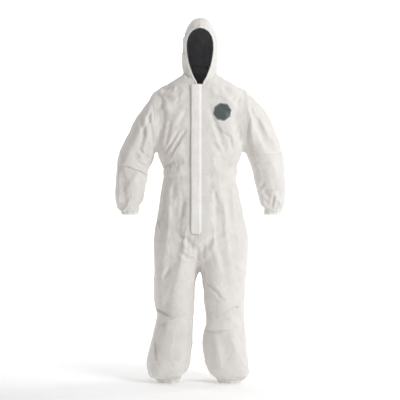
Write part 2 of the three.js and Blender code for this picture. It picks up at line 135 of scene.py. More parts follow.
def loft(rows, around=72, spacing=8 * MM):
    """Vertices and faces of a closed oval body. A row is (outer x, outer z, inner x, inner z, front, back,
    squareness): the two ends of the oval's long axis, its depths from the middle plane and its power."""
    vertices, faces = [], []
    ordered = [
        ((x1 + x0) / 2, (z1 + z0) / 2, *row)
        for row in rows
        for x1, z1, x0, z0 in [row[:4]]
    ]
    rings = smooth_rows([
        (centre_x, 0, centre_z, *row) for centre_x, centre_z, *row in ordered
    ], spacing)
    for _, _, _, x1, z1, x0, z0, front, back, power in rings:
        for step in range(around):
            angle = 2 * math.pi * (step + 0.5) / around
            side = math.copysign(abs(math.cos(angle)) ** (2 / power), math.cos(angle))
            deep = math.copysign(abs(math.sin(angle)) ** (2 / power), math.sin(angle))
            share = (side + 1) / 2
            vertices.append((
                x0 + (x1 - x0) * share,
                middle_y - deep * (front if deep > 0 else back),
                z0 + (z1 - z0) * share,
            ))
    count = len(rings)
    for ring in range(count - 1):
        for step in range(around):
            after = (step + 1) % around
            a, b = ring * around, (ring + 1) * around
            faces.append((a + step, a + after, b + after, b + step))
    faces.append(tuple(reversed(range(around))))
    faces.append(tuple((count - 1) * around + step for step in range(around)))
    return vertices, faces


def level(height, inner, outer, front, back, power=2.2):
    """A level row, in millimetres."""
    values = (outer, height, inner, height, front, back)
    return tuple(value * MM for value in values) + (power,)


def tilted(outer, inner, depth):
    """A sleeve row between a point of its outer edge and one of its inner edge, in millimetres."""
    values = (*outer, *inner, depth, depth)
    return tuple(value * MM for value in values) + (2.2,)


def front_at(height):
    """The straight front edge: it comes forward a little on its way down."""
    return 104 + (1457 - height) * 32 / 728


trunk_rows = [
    level(height, -right, left, front_at(height) if height > 690 else front, back, power)
    for height, right, left, front, back, power in [
        (1553, 79, 79, 0, 90, 2.1), (1523, 84, 84, 0, 93, 2.1), (1506, 104, 106, 0, 98, 2.15),
        (1488, 135, 138, 0, 104, 2.2), (1468, 168, 176, 0, 110, 2.3), (1451, 198, 205, 0, 115, 2.4),
        (1438, 210, 214, 0, 118, 2.5), (1426, 215, 216, 0, 121, 2.6), (1380, 216, 216, 0, 126, 2.6),
        (1293, 215, 215, 0, 130, 2.6), (1200, 212, 212, 0, 127, 2.5), (1146, 210, 209, 0, 123, 2.5),
        (1097, 190, 186, 0, 118, 2.4), (1037, 185, 181, 0, 112, 2.4), (998, 184, 179, 0, 110, 2.4),
        (948, 199, 194, 0, 114, 2.4), (899, 209, 207, 0, 121, 2.4), (854, 218, 219, 0, 128, 2.4),
        (805, 227, 232, 0, 134, 2.4), (750, 236, 244, 0, 138, 2.5), (696, 241, 250, 0, 138, 2.5),
        (654, 234, 243, 126, 124, 2.4), (618, 182, 190, 92, 90, 2.3), (598, 100, 100, 44, 44, 2.2),
    ]
]
hood_rows = [
    level(height, -half, half, front, back, 2.1)
    for height, half, front, back in [
        (1810, 16, 24, 24), (1805, 34, 48, 46), (1792, 51, 78, 72), (1770, 68, 100, 94), (1745, 80, 114, 108),
        (1721, 88, 121, 116), (1691, 96, 128, 121), (1642, 98, 129, 121), (1592, 94, 123, 113),
        (1562, 86, 113, 102), (1533, 81, 104, 93), (1493, 77, 100, 88),
    ]
]
leg_rows = {
    "left": [
        (710, 12, 240, 120, 118), (640, 4, 243, 123, 124), (592, 2, 238, 119, 122), (550, 6, 234, 113, 116),
        (509, 10, 231, 108, 112), (438, 14, 227, 101, 105), (390, 16, 226, 98, 102), (348, 20, 226, 98, 101),
        (300, 25, 228, 99, 102), (258, 13, 231, 101, 103), (196, 9, 236, 105, 105), (135, 17, 243, 106, 105),
        (90, 32, 246, 102, 100), (50, 50, 245, 88, 86), (24, 72, 232, 68, 66), (6, 92, 202, 50, 49),
        (0, 96, 194, 47, 46),
    ],
    "right": [
        (710, 12, 236, 120, 118), (640, 4, 239, 123, 124), (592, 2, 236, 119, 122), (550, 9, 233, 113, 116),
        (509, 14, 232, 108, 112), (438, 19, 231, 101, 105), (386, 22, 228, 98, 102), (345, 24, 218, 98, 101),
        (300, 26, 229, 99, 102), (250, 29, 243, 101, 103), (205, 33, 252, 105, 105), (135, 39, 267, 106, 105),
        (90, 52, 269, 102, 100), (50, 70, 256, 88, 86), (24, 90, 232, 68, 66), (6, 106, 198, 50, 49),
        (0, 109, 190, 47, 46),
    ],
}
sleeve_rows = {
    "left": [
        ((150, 1451), (150, 1172), 74), ((205, 1450), (190, 1158), 82), ((240, 1435), (206, 1149), 87),
        ((288, 1400), (214, 1146), 86), ((345, 1334), (224, 1132), 84), ((380, 1262), (240, 1108), 82),
        ((406, 1188), (252, 1086), 81), ((423, 1114), (262, 1064), 80), ((429, 1043), (272, 1040), 78),
        ((433, 1000), (281, 1000), 76), ((434, 964), (290, 964), 74), ((431, 896), (304, 890), 67),
        ((418, 862), (312, 860), 60), ((402, 842), (318, 842), 49), ((394, 830), (319, 830), 41),
        ((393, 822), (320, 822), 40),
    ],
    "right": [
        ((150, 1451), (150, 1172), 74), ((205, 1446), (190, 1158), 82), ((250, 1415), (206, 1149), 87),
        ((295, 1362), (214, 1148), 86), ((340, 1290), (222, 1134), 84), ((368, 1235), (234, 1110), 82),
        ((394, 1180), (246, 1088), 81), ((412, 1130), (258, 1072), 80), ((424, 1060), (268, 1054), 78),
        ((427, 1000), (272, 1000), 76), ((427, 940), (284, 940), 74), ((420, 880), (294, 880), 67),
        ((407, 855), (300, 855), 60), ((390, 840), (307, 840), 49), ((383, 830), (309, 830), 41),
        ((382, 822), (310, 822), 40),
    ],
}


def mirrored(rows):
    """The same rows on the wearer's right."""
    return [(-row[0], row[1], -row[2], *row[3:]) for row in rows]


def joined(parts):
    """One mesh from several bodies of vertices and faces."""
    vertices, faces = [], []
    for part_vertices, part_faces in parts:
        offset = len(vertices)
        vertices += part_vertices
        faces += [tuple(index + offset for index in face) for face in part_faces]
    return vertices, faces


def new_mesh_object(name, vertices, faces):
    mesh = bpy.data.meshes.new(name)
    mesh.from_pydata(vertices, [], faces)
    mesh.validate()
    piece = bpy.data.objects.new(name, mesh)
    bpy.context.collection.objects.link(piece)
    return piece


def modified(piece, *modifiers):
    """Apply modifiers, each a type with its settings, and leave a plain mesh."""
    for kind, settings in modifiers:
        modifier = piece.modifiers.new(kind, kind)
        for key, value in settings.items():
            setattr(modifier, key, value)
    evaluated = piece.evaluated_get(bpy.context.evaluated_depsgraph_get())
    plain = bpy.data.meshes.new_from_object(evaluated)
    piece.modifiers.clear()
    piece.data = plain
    return piece


def outward(faces):
    """The same faces seen from the other side."""
    return [tuple(reversed(face)) for face in faces]


bodies = []
bodies.append(loft(trunk_rows, 112))
bodies.append(loft(hood_rows))
for side in ("left", "right"):
    legs = [level(height, inner, outer, front, back, 2.15) for height, inner, outer, front, back in leg_rows[side]]
    sleeves = [tilted(*row) for row in sleeve_rows[side]]
    for rows in (legs, sleeves):
        if side == "right":
            vertices, faces = loft(mirrored(rows))
            bodies.append((vertices, outward(faces)))
        else:
            bodies.append(loft(rows))
skin = new_mesh_object("skin", *joined(bodies))
bm = bmesh.new()
bm.from_mesh(skin.data)
bmesh.ops.recalc_face_normals(bm, faces=bm.faces)
bm.to_mesh(skin.data)
bm.free()
modified(skin, ("REMESH", {"mode": "VOXEL", "voxel_size": skin_voxel, "adaptivity": 0}))
modified(skin, ("SMOOTH", {"factor": 0.5, "iterations": 8}))


# --- Seams: where the skin is cut into panels ------------------------------------------------------------
# The real suit is sewn from flat pieces with a serged seam. Each seam below is a plane, so that the
# skin gets a clean edge there and both panels keep the same points along it.
zip_low, zip_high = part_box("zip_teeth_left")
zip_x = (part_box("zip_teeth_left")[0].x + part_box("zip_teeth_right")[1].x) / 2
zip_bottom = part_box("zip_bottom_stop")[0].z
slot_half = 5.2 * MM
armhole_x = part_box("shoulder_fold_left")[0].x
cuff_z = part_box("wrist_elastic_left")[0].z
hem_z = suit_low.z + 3 * MM
crotch_z = trunk_low.z
neck_point = Vector((0, middle_y, 1510 * MM))
neck_normal = Vector((0, -0.4, 1)).normalized()
leg_seam_z = 498 * MM
elbow_point = Vector((335 * MM, middle_y, 1106 * MM))  # where the elbow starts to bend
elbow_down = Vector((0.24, 0, -0.97))
side_sign = {"left": 1, "right": -1}


def above_neck(point, margin=0):
    return (Vector(point) - neck_point).dot(neck_normal) > margin


def on_sleeve(point):
    """Whether a point is on a sleeve: outside the armhole, or beside the trunk below it."""
    if abs(point[0]) < armhole_x:
        return False
    return point[2] > 1.1 or abs(point[0]) > armhole_x + (1.1 - point[2]) * 0.3


def cut(bm, point, normal, chosen, clear_below=False, snap=1.8 * MM):
    """Cut the chosen faces by a plane. Points that are almost on it are moved onto it first."""
    point, normal = Vector(point), Vector(normal).normalized()
    faces = [face for face in bm.faces if chosen(face.calc_center_median())]
    for vertex in {vertex for face in faces for vertex in face.verts}:
        away = (vertex.co - point).dot(normal)
        if abs(away) < snap:
            vertex.co -= normal * away
    edges = {edge for face in faces for edge in face.edges}
    vertices = {vertex for face in faces for vertex in face.verts}
    bmesh.ops.bisect_plane(
        bm, geom=[*faces, *edges, *vertices], plane_co=point, plane_no=normal, dist=0.2 * MM, clear_inner=clear_below,
    )


bm = bmesh.new()
bm.from_mesh(skin.data)
cut(bm, neck_point, neck_normal, lambda p: p.z > 1.4 and abs(p.x) < 0.2)
cut(bm, (0, 0, 0), (1, 0, 0), lambda p: above_neck(p))
cut(bm, (0, 0, 0), (1, 0, 0), lambda p: p.y > middle_y and not above_neck(p) and p.z > crotch_z - 0.03)
cut(bm, (zip_x, 0, 0), (1, 0, 0), lambda p: p.y < middle_y and not above_neck(p) and p.z > crotch_z - 0.03)
cut(bm, (0, middle_y, 0), (0, 1, 0), lambda p: not on_sleeve(p) and not above_neck(p))
for edge_x in (zip_x - slot_half, zip_x + slot_half):
    cut(bm, (edge_x, 0, 0), (1, 0, 0), lambda p: p.y < middle_y - 0.05 and zip_bottom - 0.01 < p.z < 1.48, snap=1.2 * MM)
cut(bm, (0, 0, zip_bottom - 4 * MM), (0, 0, 1), lambda p: p.y < middle_y and abs(p.x - zip_x) < 0.02 and p.z < 0.8)
for side, sign in side_sign.items():
    on_side = lambda p: p.x * sign > 0.19
    cut(bm, (sign * armhole_x, 0, 0), (1, 0, 0), lambda p: on_side(p) and p.z > 1.12 and abs(p.x) < 0.25)
    cut(bm, (sign * elbow_point.x, 0, elbow_point.z), (sign * elbow_down.x, 0, elbow_down.z),
        lambda p: on_side(p) and on_sleeve(p) and 1.0 < p.z < 1.2)
    cut(bm, (0, 0, cuff_z), (0, 0, 1), lambda p: on_side(p) and on_sleeve(p) and p.z < 0.9, clear_below=True)
cut(bm, (0, 0, leg_seam_z), (0, 0, 1), lambda p: p.z < 0.6)
cut(bm, (0, 0, hem_z), (0, 0, 1), lambda p: p.z < 0.1, clear_below=True)

# The face opening is an egg, with its narrow end at the top of the zip.
face_outline = np.array([
    (1458, 0), (1459, 12), (1474, 18), (1494, 30), (1524, 42), (1555, 53), (1592, 61), (1628, 65.5), (1662, 65),
    (1690, 58), (1713, 44), (1725, 28), (1730, 14), (1732, 0),
]) * MM


face_top = face_outline[-1, 0]


def outside_face(point):
    """How far a point is outside the face opening, seen from the front. It is negative inside."""
    beyond = max(face_outline[0, 0] - point[2], point[2] - face_outline[-1, 0], 0)
    return abs(point[0]) + beyond - np.interp(point[2], face_outline[:, 0], face_outline[:, 1])


near = {v: outside_face(v.co) for v in bm.verts if v.co.z > 1.45 and v.co.y < middle_y - 0.03 and abs(v.co.x) < 0.09}
for vertex, away in near.items():
    if abs(away) < 2 * MM:
        step = 0.1 * MM
        slope_x = (outside_face(vertex.co + Vector((step, 0, 0))) - away) / step
        slope_z = (outside_face(vertex.co + Vector((0, 0, step))) - away) / step
        length = slope_x ** 2 + slope_z ** 2
        vertex.co.x -= away * slope_x / length
        vertex.co.z -= away * slope_z / length
        near[vertex] = 0
rim = [vertex for vertex, away in near.items() if away == 0]
for edge in [edge for vertex in near for edge in vertex.link_edges]:
    a, b = edge.verts
    if a in near and b in near and near[a] * near[b] < 0:
        _, fresh = bmesh.utils.edge_split(edge, a, near[a] / (near[a] - near[b]))
        rim.append(fresh)
bmesh.ops.connect_verts(bm, verts=rim)
bmesh.ops.delete(bm, context="FACES", geom=[
    face for face in bm.faces
    for p in [face.calc_center_median()]
    if (p.z > 1.45 and p.y < middle_y - 0.03 and outside_face(p) < 0)
    or (p.y < middle_y - 0.05 and abs(p.x - zip_x) < slot_half and zip_bottom - 4 * MM < p.z < 1.48)
])
bmesh.ops.delete(bm, context="VERTS", geom=[vertex for vertex in bm.verts if not vertex.link_faces])

panel_names = [
    f"{name}_{side}" for side in ("left", "right")
    for name in ("hood", "front", "back", "upper_sleeve", "lower_sleeve", "leg_front", "leg_back")
]


def panel_at(point):
    """The name of the panel that a point of the skin belongs to."""
    if point.z > 1.4 and above_neck(point):
        return "hood_left" if point.x > 0 else "hood_right"
    side = "left" if point.x > (zip_x if point.y < middle_y and point.z > leg_seam_z else 0) else "right"
    if on_sleeve(point):
        mirror = Vector((abs(point.x), point.y, point.z))
        return ("lower" if (mirror - elbow_point).dot(elbow_down) > 0 else "upper") + "_sleeve_" + side
    layer = "front" if point.y < middle_y else "back"
    return (layer if point.z > leg_seam_z else "leg_" + layer) + "_" + side


for face in bm.faces:
    face.material_index = panel_names.index(panel_at(face.calc_center_median()))
    face.smooth = True
bm.to_mesh(skin.data)
bm.free()


# --- Folds of the cloth ---------------------------------------------------------------------------------
# The film makes the nonwoven papery: it hangs in a few long soft drapes, with sharp creases where it is
# pulled at the armholes and the crotch, and small gathers where elastic is sewn in.
def points_of(mesh):
    values = np.empty(len(mesh.vertices) * 3)
    mesh.vertices.foreach_get("co", values)
    return values.reshape(-1, 3)


def normals_of(mesh):
    values = np.empty(len(mesh.vertices) * 3)
    mesh.vertex_normals.foreach_get("vector", values)
    return values.reshape(-1, 3)


def eased(value, start, end):
    """0 before start and 1 after end, with a soft change between them."""
    share = np.clip((value - start) / (end - start), 0, 1)
    return share * share * (3 - 2 * share)


def freedom(points):
    """How freely the cloth moves at each point: 0 where it is sewn to elastic, the zip or a seam."""
    x, y, z = points.T
    wide = np.abs(x)
    front = y < middle_y
    neck_side = (points - np.array(neck_point)) @ np.array(neck_normal)
    face = wide + np.maximum(0, z - face_top) - np.interp(z, face_outline[:, 0], face_outline[:, 1])
    free = eased(z - hem_z, 4 * MM, 40 * MM)
    free *= np.where((wide > 0.28) & (z < 1.0), eased(z - cuff_z, 4 * MM, 36 * MM), 1)
    beside_zip = np.abs(x - zip_x) + np.maximum(0, zip_bottom - z)
    free *= np.where(front & (z < 1.48) & (z > 0.5), eased(beside_zip, 40 * MM, 85 * MM), 1)
    free *= eased(np.abs(z - waist_z) + (wide > 0.24), 3 * MM, 30 * MM)
    free *= np.where(z > 1.40, eased(np.abs(neck_side), 3 * MM, 30 * MM), 1)
    free *= np.where(z > 1.12, eased(np.abs(wide - armhole_x), 2 * MM, 22 * MM), 1)
    free *= np.where((z > 1.45) & front, eased(face, 5 * MM, 26 * MM), 1)
    return free


waist_z = sum(corner.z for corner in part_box("waist_elastic")) / 2
sewn = freedom(points_of(skin.data))
# The cloth is cut a little too large for the shape and let go, so that it buckles by itself.
held = skin.vertex_groups.new(name="held")
held.add([int(index) for index in np.flatnonzero(sewn < 0.35)], 1, "REPLACE")
before = points_of(skin.data)
cloth = skin.modifiers.new("cloth", "CLOTH")
cloth.settings.quality = 4
cloth.settings.mass = 0.12
cloth.settings.tension_stiffness = 30
cloth.settings.compression_stiffness = 30
cloth.settings.shear_stiffness = 18
cloth.settings.bending_stiffness = 1.5
cloth.settings.vertex_group_mass = "held"
cloth.settings.shrink_min = -0.035
cloth.settings.use_pressure = True
cloth.settings.uniform_pressure_force = 1.5
cloth.settings.effector_weights.gravity = 0.5
cloth.collision_settings.use_collision = False
for number in range(1, 23):
    bpy.context.scene.frame_set(number)
evaluated = skin.evaluated_get(bpy.context.evaluated_depsgraph_get())
moved = points_of(evaluated.to_mesh()) - before
evaluated.to_mesh_clear()
skin.modifiers.clear()
bpy.context.scene.frame_set(1)
distance = np.linalg.norm(moved, axis=1, keepdims=True)
moved *= np.minimum(1, 13 * MM / np.maximum(distance, 1e-9)) * sewn[:, None]
skin.data.vertices.foreach_set("co", (before + moved).ravel())
skin.data.update()
modified(skin, ("SUBSURF", {"levels": 1}))

strokes = [  # layer, kind, half-width, height, points as (x, z); all in millimetres
    ("front", "crease", 7, 6.0, [(-50, 1270), (-94, 1213), (-145, 1122)]),
    ("front", "crease", 6, 4.5, [(-107, 1245), (-140, 1185), (-176, 1131)]),
    ("front", "tuck", 8, 4.5, [(-104, 1166), (-140, 1090), (-173, 1018)]),
    ("front", "ridge", 16, 7.0, [(-54, 1453), (-120, 1400), (-203, 1340)]),
    ("front", "crease", 11, 5.0, [(-47, 1379), (-80, 1320), (-114, 1265)]),
    ("front", "crease", 9, 4.0, [(-149, 1295), (-165, 1210), (-176, 1129)]),
    ("front", "crease", 10, 5.0, [(8, 1429), (50, 1335), (89, 1245), (131, 1114)]),
    ("front", "crease", 7, 5.0, [(97, 1240), (149, 1211), (163, 1151)]),
    ("front", "ridge", 17, 7.0, [(97, 1436), (150, 1385), (196, 1323)]),
    ("front", "tuck", 9, 4.0, [(185, 1180), (150, 1080), (120, 1010)]),
    ("front", "crease", 10, 8.0, [(-259, 1326), (-240, 1240), (-224, 1151)]),
    ("front", "crease", 8, 5.0, [(-290, 1325), (-288, 1270), (-282, 1226)]),
    ("front", "crease", 7, 6.0, [(-305, 1150), (-275, 1120), (-248, 1097)]),
    ("front", "crease", 6, 5.0, [(-318, 1092), (-290, 1076), (-268, 1062)]),
    ("front", "ridge", 9, 7.0, [(-408, 1067), (-407, 980), (-404, 899), (-372, 868)]),
    ("front", "tuck", 8, 5.0, [(-345, 1000), (-335, 930), (-338, 880)]),
    ("front", "crease", 9, 6.5, [(246, 1330), (236, 1240), (228, 1158)]),
    ("front", "ridge", 13, 6.0, [(300, 1330), (330, 1250), (345, 1180)]),
    ("front", "crease", 7, 6.0, [(321, 990), (305, 960), (289, 934)]),
    ("front", "tuck", 7, 5.0, [(337, 952), (360, 946), (395, 950)]),
    ("front", "crease", 7, 5.0, [(262, 1090), (300, 1078), (345, 1085)]),
    ("front", "crease", 6, 5.0, [(372, 930), (366, 890), (362, 860)]),
    ("front", "tuck", 8, 6.0, [(-262, 1022), (-297, 1042), (-352, 1064), (-410, 1080)]),
    ("front", "tuck", 7, 5.0, [(420, 1136), (352, 1128), (300, 1120), (250, 1112)]),
    ("back", "tuck", 8, 6.0, [(-262, 1022), (-297, 1042), (-352, 1064), (-410, 1080)]),
    ("back", "tuck", 7, 5.0, [(420, 1136), (352, 1128), (300, 1120), (250, 1112)]),
    ("front", "crease", 9, 5.0, [(-150, 560), (-170, 530), (-190, 508)]),
    ("front", "tuck", 9, 10.0, [(-222, 352), (-180, 328), (-132, 303)]),
    ("front", "tuck", 10, 7.0, [(-59, 341), (-140, 300), (-226, 268)]),
    ("front", "tuck", 9, 7.0, [(-228, 205), (-222, 120), (-207, 55)]),
    ("front", "tuck", 16, 8.0, [(-120, 250), (-138, 180), (-150, 70)]),
    ("front", "ridge", 18, 7.0, [(-60, 300), (-75, 200), (-90, 90)]),
    ("front", "tuck", 9, 6.0, [(-210, 800), (-204, 740), (-208, 676)]),
    ("front", "crease", 12, 6.0, [(-14, 640), (-60, 700), (-130, 745)]),
    ("front", "crease", 12, 6.0, [(4, 640), (55, 705), (140, 750)]),
    ("front", "crease", 8, 5.0, [(-20, 600), (-62, 610), (-110, 650)]),
    ("front", "crease", 8, 7.0, [(30, 493), (65, 455), (99, 423)]),
    ("front", "crease", 7, 5.0, [(84, 425), (105, 410), (126, 399)]),
    ("front", "tuck", 9, 9.0, [(216, 362), (170, 366), (128, 340), (86, 304)]),
    ("front", "tuck", 11, 9.0, [(165, 256), (90, 246), (10, 250)]),
    ("front", "tuck", 16, 8.0, [(150, 235), (178, 150), (192, 60)]),
    ("front", "ridge", 16, 7.0, [(75, 230), (92, 130), (112, 40)]),
    ("front", "ridge", 14, 6.0, [(150, 330), (170, 290), (200, 265)]),
    ("front", "ridge", 14, 6.0, [(150, 930), (165, 860), (175, 790)]),
    ("front", "ridge", 14, 6.0, [(-130, 930), (-150, 850), (-160, 780)]),
    ("front", "crease", 10, 4.0, [(70, 960), (80, 880), (75, 800)]),
    ("front", "crease", 10, 4.0, [(-90, 960), (-86, 880), (-92, 810)]),
    ("front", "crease", 7, 8.0, [(-86, 1580), (-76, 1540), (-50, 1500)]),
    ("front", "crease", 5, 6.0, [(-88, 1731), (-60, 1722)]),
    ("front", "crease", 5, 6.0, [(-95, 1704), (-64, 1694)]),
    ("front", "crease", 5, 6.0, [(-98, 1672), (-66, 1667)]),
    ("front", "crease", 5, 6.0, [(-99, 1641), (-66, 1643)]),
    ("front", "crease", 5, 5.0, [(-96, 1612), (-62, 1618)]),
    ("front", "tuck", 8, 6.0, [(20, 1700), (75, 1716), (98, 1690)]),
    ("front", "crease", 6, 3.5, [(80, 1560), (76, 1528), (58, 1500)]),
    ("back", "crease", 10, 6.0, [(-190, 1360), (-90, 1290), (10, 1240)]),
    ("back", "crease", 10, 6.0, [(195, 1350), (110, 1270), (60, 1180)]),
    ("back", "tuck", 9, 6.0, [(-180, 1150), (-100, 1090), (-30, 1050)]),
    ("back", "crease", 9, 5.0, [(170, 1130), (110, 1070), (90, 1015)]),
    ("back", "crease", 12, 7.0, [(-20, 640), (-90, 720), (-170, 800)]),
    ("back", "crease", 12, 7.0, [(20, 640), (85, 715), (170, 780)]),
    ("back", "tuck", 10, 7.0, [(-200, 640), (-120, 600), (-50, 590)]),
    ("back", "tuck", 10, 7.0, [(205, 650), (130, 610), (60, 585)]),
    ("back", "crease", 9, 7.0, [(-220, 400), (-130, 380), (-50, 400)]),
    ("back", "crease", 9, 7.0, [(215, 410), (125, 385), (45, 390)]),
    ("back", "crease", 9, 6.0, [(-215, 350), (-120, 330), (-60, 350)]),
    ("back", "crease", 9, 6.0, [(210, 350), (130, 325), (60, 345)]),
    ("back", "tuck", 9, 6.0, [(-190, 260), (-170, 150), (-160, 60)]),
    ("back", "tuck", 9, 6.0, [(190, 260), (170, 150), (160, 60)]),
    ("back", "crease", 8, 6.0, [(-270, 1330), (-260, 1240), (-245, 1150)]),
    ("back", "crease", 8, 6.0, [(270, 1330), (262, 1240), (245, 1150)]),
    ("back", "crease", 8, 6.0, [(-400, 1110), (-340, 1095), (-280, 1100)]),
    ("back", "crease", 8, 6.0, [(400, 1110), (340, 1095), (280, 1100)]),
    ("back", "crease", 8, 5.0, [(-60, 1720), (-66, 1640), (-50, 1570)]),
    ("back", "crease", 8, 5.0, [(60, 1720), (66, 1640), (50, 1570)]),
]


def fold_height(points, normals, layer, kind, half_width, height, line):
    """How far one fold lifts each point of the cloth."""
    toward = -1 if layer == "front" else 1
    facing = eased(normals[:, 1] * toward, -0.05, 0.35)
    line = np.array(line, float) * MM
    if layer == "front":
        # The front stands nearer to the camera than the middle of the suit and looks that much larger.
        eye = np.array([0, camera.location.z])
        line = eye + (line - eye) * (1 - 0.12 / camera_distance)
    flat = points[:, [0, 2]]
    nearest = np.full(len(flat), 9.0)
    across = np.zeros(len(flat))
    along = np.zeros(len(flat))
    lengths = np.linalg.norm(np.diff(line, axis=0), axis=1)
    total = lengths.sum()
    passed = 0
    for start, end, length in zip(line, line[1:], lengths):
        direction = (end - start) / length
        offset = flat - start
        reach = np.clip(offset @ direction, 0, length)
        gap = np.linalg.norm(offset - reach[:, None] * direction, axis=1)
        closer = gap < nearest
        nearest = np.where(closer, gap, nearest)
        side = offset[:, 0] * direction[1] - offset[:, 1] * direction[0]
        across = np.where(closer, np.copysign(gap, side), across)
        along = np.where(closer, (passed + reach) / total, along)
        passed += length
    fade = np.clip(np.minimum(along, 1 - along) * 4, 0, 1) ** 0.7
    fade *= np.where((along <= 0) | (along >= 1), 0, 1)
    width = half_width * MM
    s = across / width
    if kind == "crease":
        shape = -np.exp(-s ** 2) + 0.5 * np.exp(-(np.abs(s) - 2.1) ** 2)
    elif kind == "tuck":
        shape = np.where(s > 0, np.exp(-s / 2.2), -0.55 * np.exp(s / 1.4))
    else:
        shape = np.exp(-s ** 2) - 0.3 * np.exp(-(np.abs(s) - 2.4) ** 2)
    return shape * fade * facing * height * MM


def cell_noise(points, size, seed):
    """Smooth noise from -1 to 1 with lumps of about this size, in metres along x, y and z."""
    shift = Vector((seed * 7.3, seed * 3.1, seed * 5.7))
    return np.array([noise.noise(Vector(row) + shift) for row in points / np.array(size)])


def crinkle(points, size):
    """Sharp little valleys between flat facets, as in stiff paper that was crushed once."""
    out = []
    for row in points / size:
        first, second = noise.voronoi(Vector(row))[0][:2]
        out.append(-math.exp(-(second - first) * 7))
    return np.array(out)


def gathers(angle, count, seed):
    """Uneven ripples around an opening."""
    wander = 0.55 * np.sin(angle * 3 + seed) + 0.35 * np.sin(angle * 5 + 2 * seed)
    uneven = 0.75 + 0.25 * np.sin(angle * 7 + seed)
    return np.cos(angle * count + wander * 2) * uneven


points = points_of(skin.data)
normals = normals_of(skin.data)
free = freedom(points)
x, y, z = points.T
lift = sum(fold_height(points, normals, *stroke) for stroke in strokes)
lift += cell_noise(points, (0.07, 0.07, 0.16), 1) * 4.5 * MM
lift += cell_noise(points, (0.035, 0.035, 0.06), 2) * 1.6 * MM
lift += crinkle(points + cell_noise(points, (0.05, 0.05, 0.05), 3)[:, None] * 0.02, np.array((0.085, 0.085, 0.12))) * 2 * MM
lift *= free
waist_angle = np.arctan2(y - middle_y, x)
at_waist = np.exp(-((z - waist_z) / (24 * MM)) ** 2) * (np.abs(x) < 0.235)
at_waist *= np.where(y < middle_y, eased(np.abs(x - zip_x), 30 * MM, 60 * MM), 1)
lift += at_waist * (gathers(waist_angle, 40, 1) * np.where(y < middle_y, 0.9, 2.2) - 2.0) * MM
for side, sign in side_sign.items():
    cuff_low, cuff_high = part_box(f"wrist_elastic_{side}")
    angle = np.arctan2(y - middle_y, x - (cuff_low.x + cuff_high.x) / 2)
    near_cuff = np.exp(-np.maximum(z - cuff_z, 0) / (30 * MM)) * (x * sign > 0.27) * (z < 1.0)
    lift += near_cuff * gathers(angle, 13, sign + 2) * 3.2 * MM
    ring_low, ring_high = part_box(f"ankle_elastic_{side}")
    angle = np.arctan2(y - middle_y, x - (ring_low.x + ring_high.x) / 2)
    near_hem = np.exp(-np.maximum(z - hem_z, 0) / (34 * MM)) * (x * sign > 0) * (z < 0.3)
    lift += near_hem * gathers(angle, 17, sign + 4) * 3.5 * MM
face_gap = np.abs(x) + np.maximum(0, z - face_top) - np.interp(z, face_outline[:, 0], face_outline[:, 1])
face_angle = np.arctan2(z - 1.62, x)
near_face = np.exp(-np.abs(face_gap) / (14 * MM)) * (z > 1.5) * (y < middle_y - 0.03)
lift += near_face * gathers(face_angle, 36, 3) * 1.3 * MM
skin.data.vertices.foreach_set("co", (points + normals * lift[:, None]).ravel())
skin.data.update()
skin_points = points_of(skin.data)
skin_normals = normals_of(skin.data)
skin_faces = [(tuple(face.vertices), face.material_index) for face in skin.data.polygons]
skin_tree = BVHTree.FromPolygons([Vector(row) for row in skin_points], [face for face, _ in skin_faces])
bpy.data.objects.remove(skin)


def colour(code):
    """A linear colour from an sRGB hex value."""
    values = [int(code[start:start + 2], 16) / 255 for start in (1, 3, 5)]
    return (*(v / 12.92 if v <= 0.04045 else ((v + 0.055) / 1.055) ** 2.4 for v in values), 1)


def add(tree, kind, settings, links=None):
    """Add a node. Settings are its own properties or inputs; links join inputs to other nodes' sockets."""
    node = tree.nodes.new("ShaderNode" + kind)
    for key, value in settings.items():
        if isinstance(key, str) and hasattr(node, key):
            setattr(node, key, value)
        else:
            node.inputs[key].default_value = value
    for key, socket in (links or {}).items():
        tree.links.new(socket, node.inputs[key])
    return node


def new_material(name):
    material = bpy.data.materials.new(name)
    material.use_nodes = True
    material.node_tree.nodes.clear()
    return material, material.node_tree


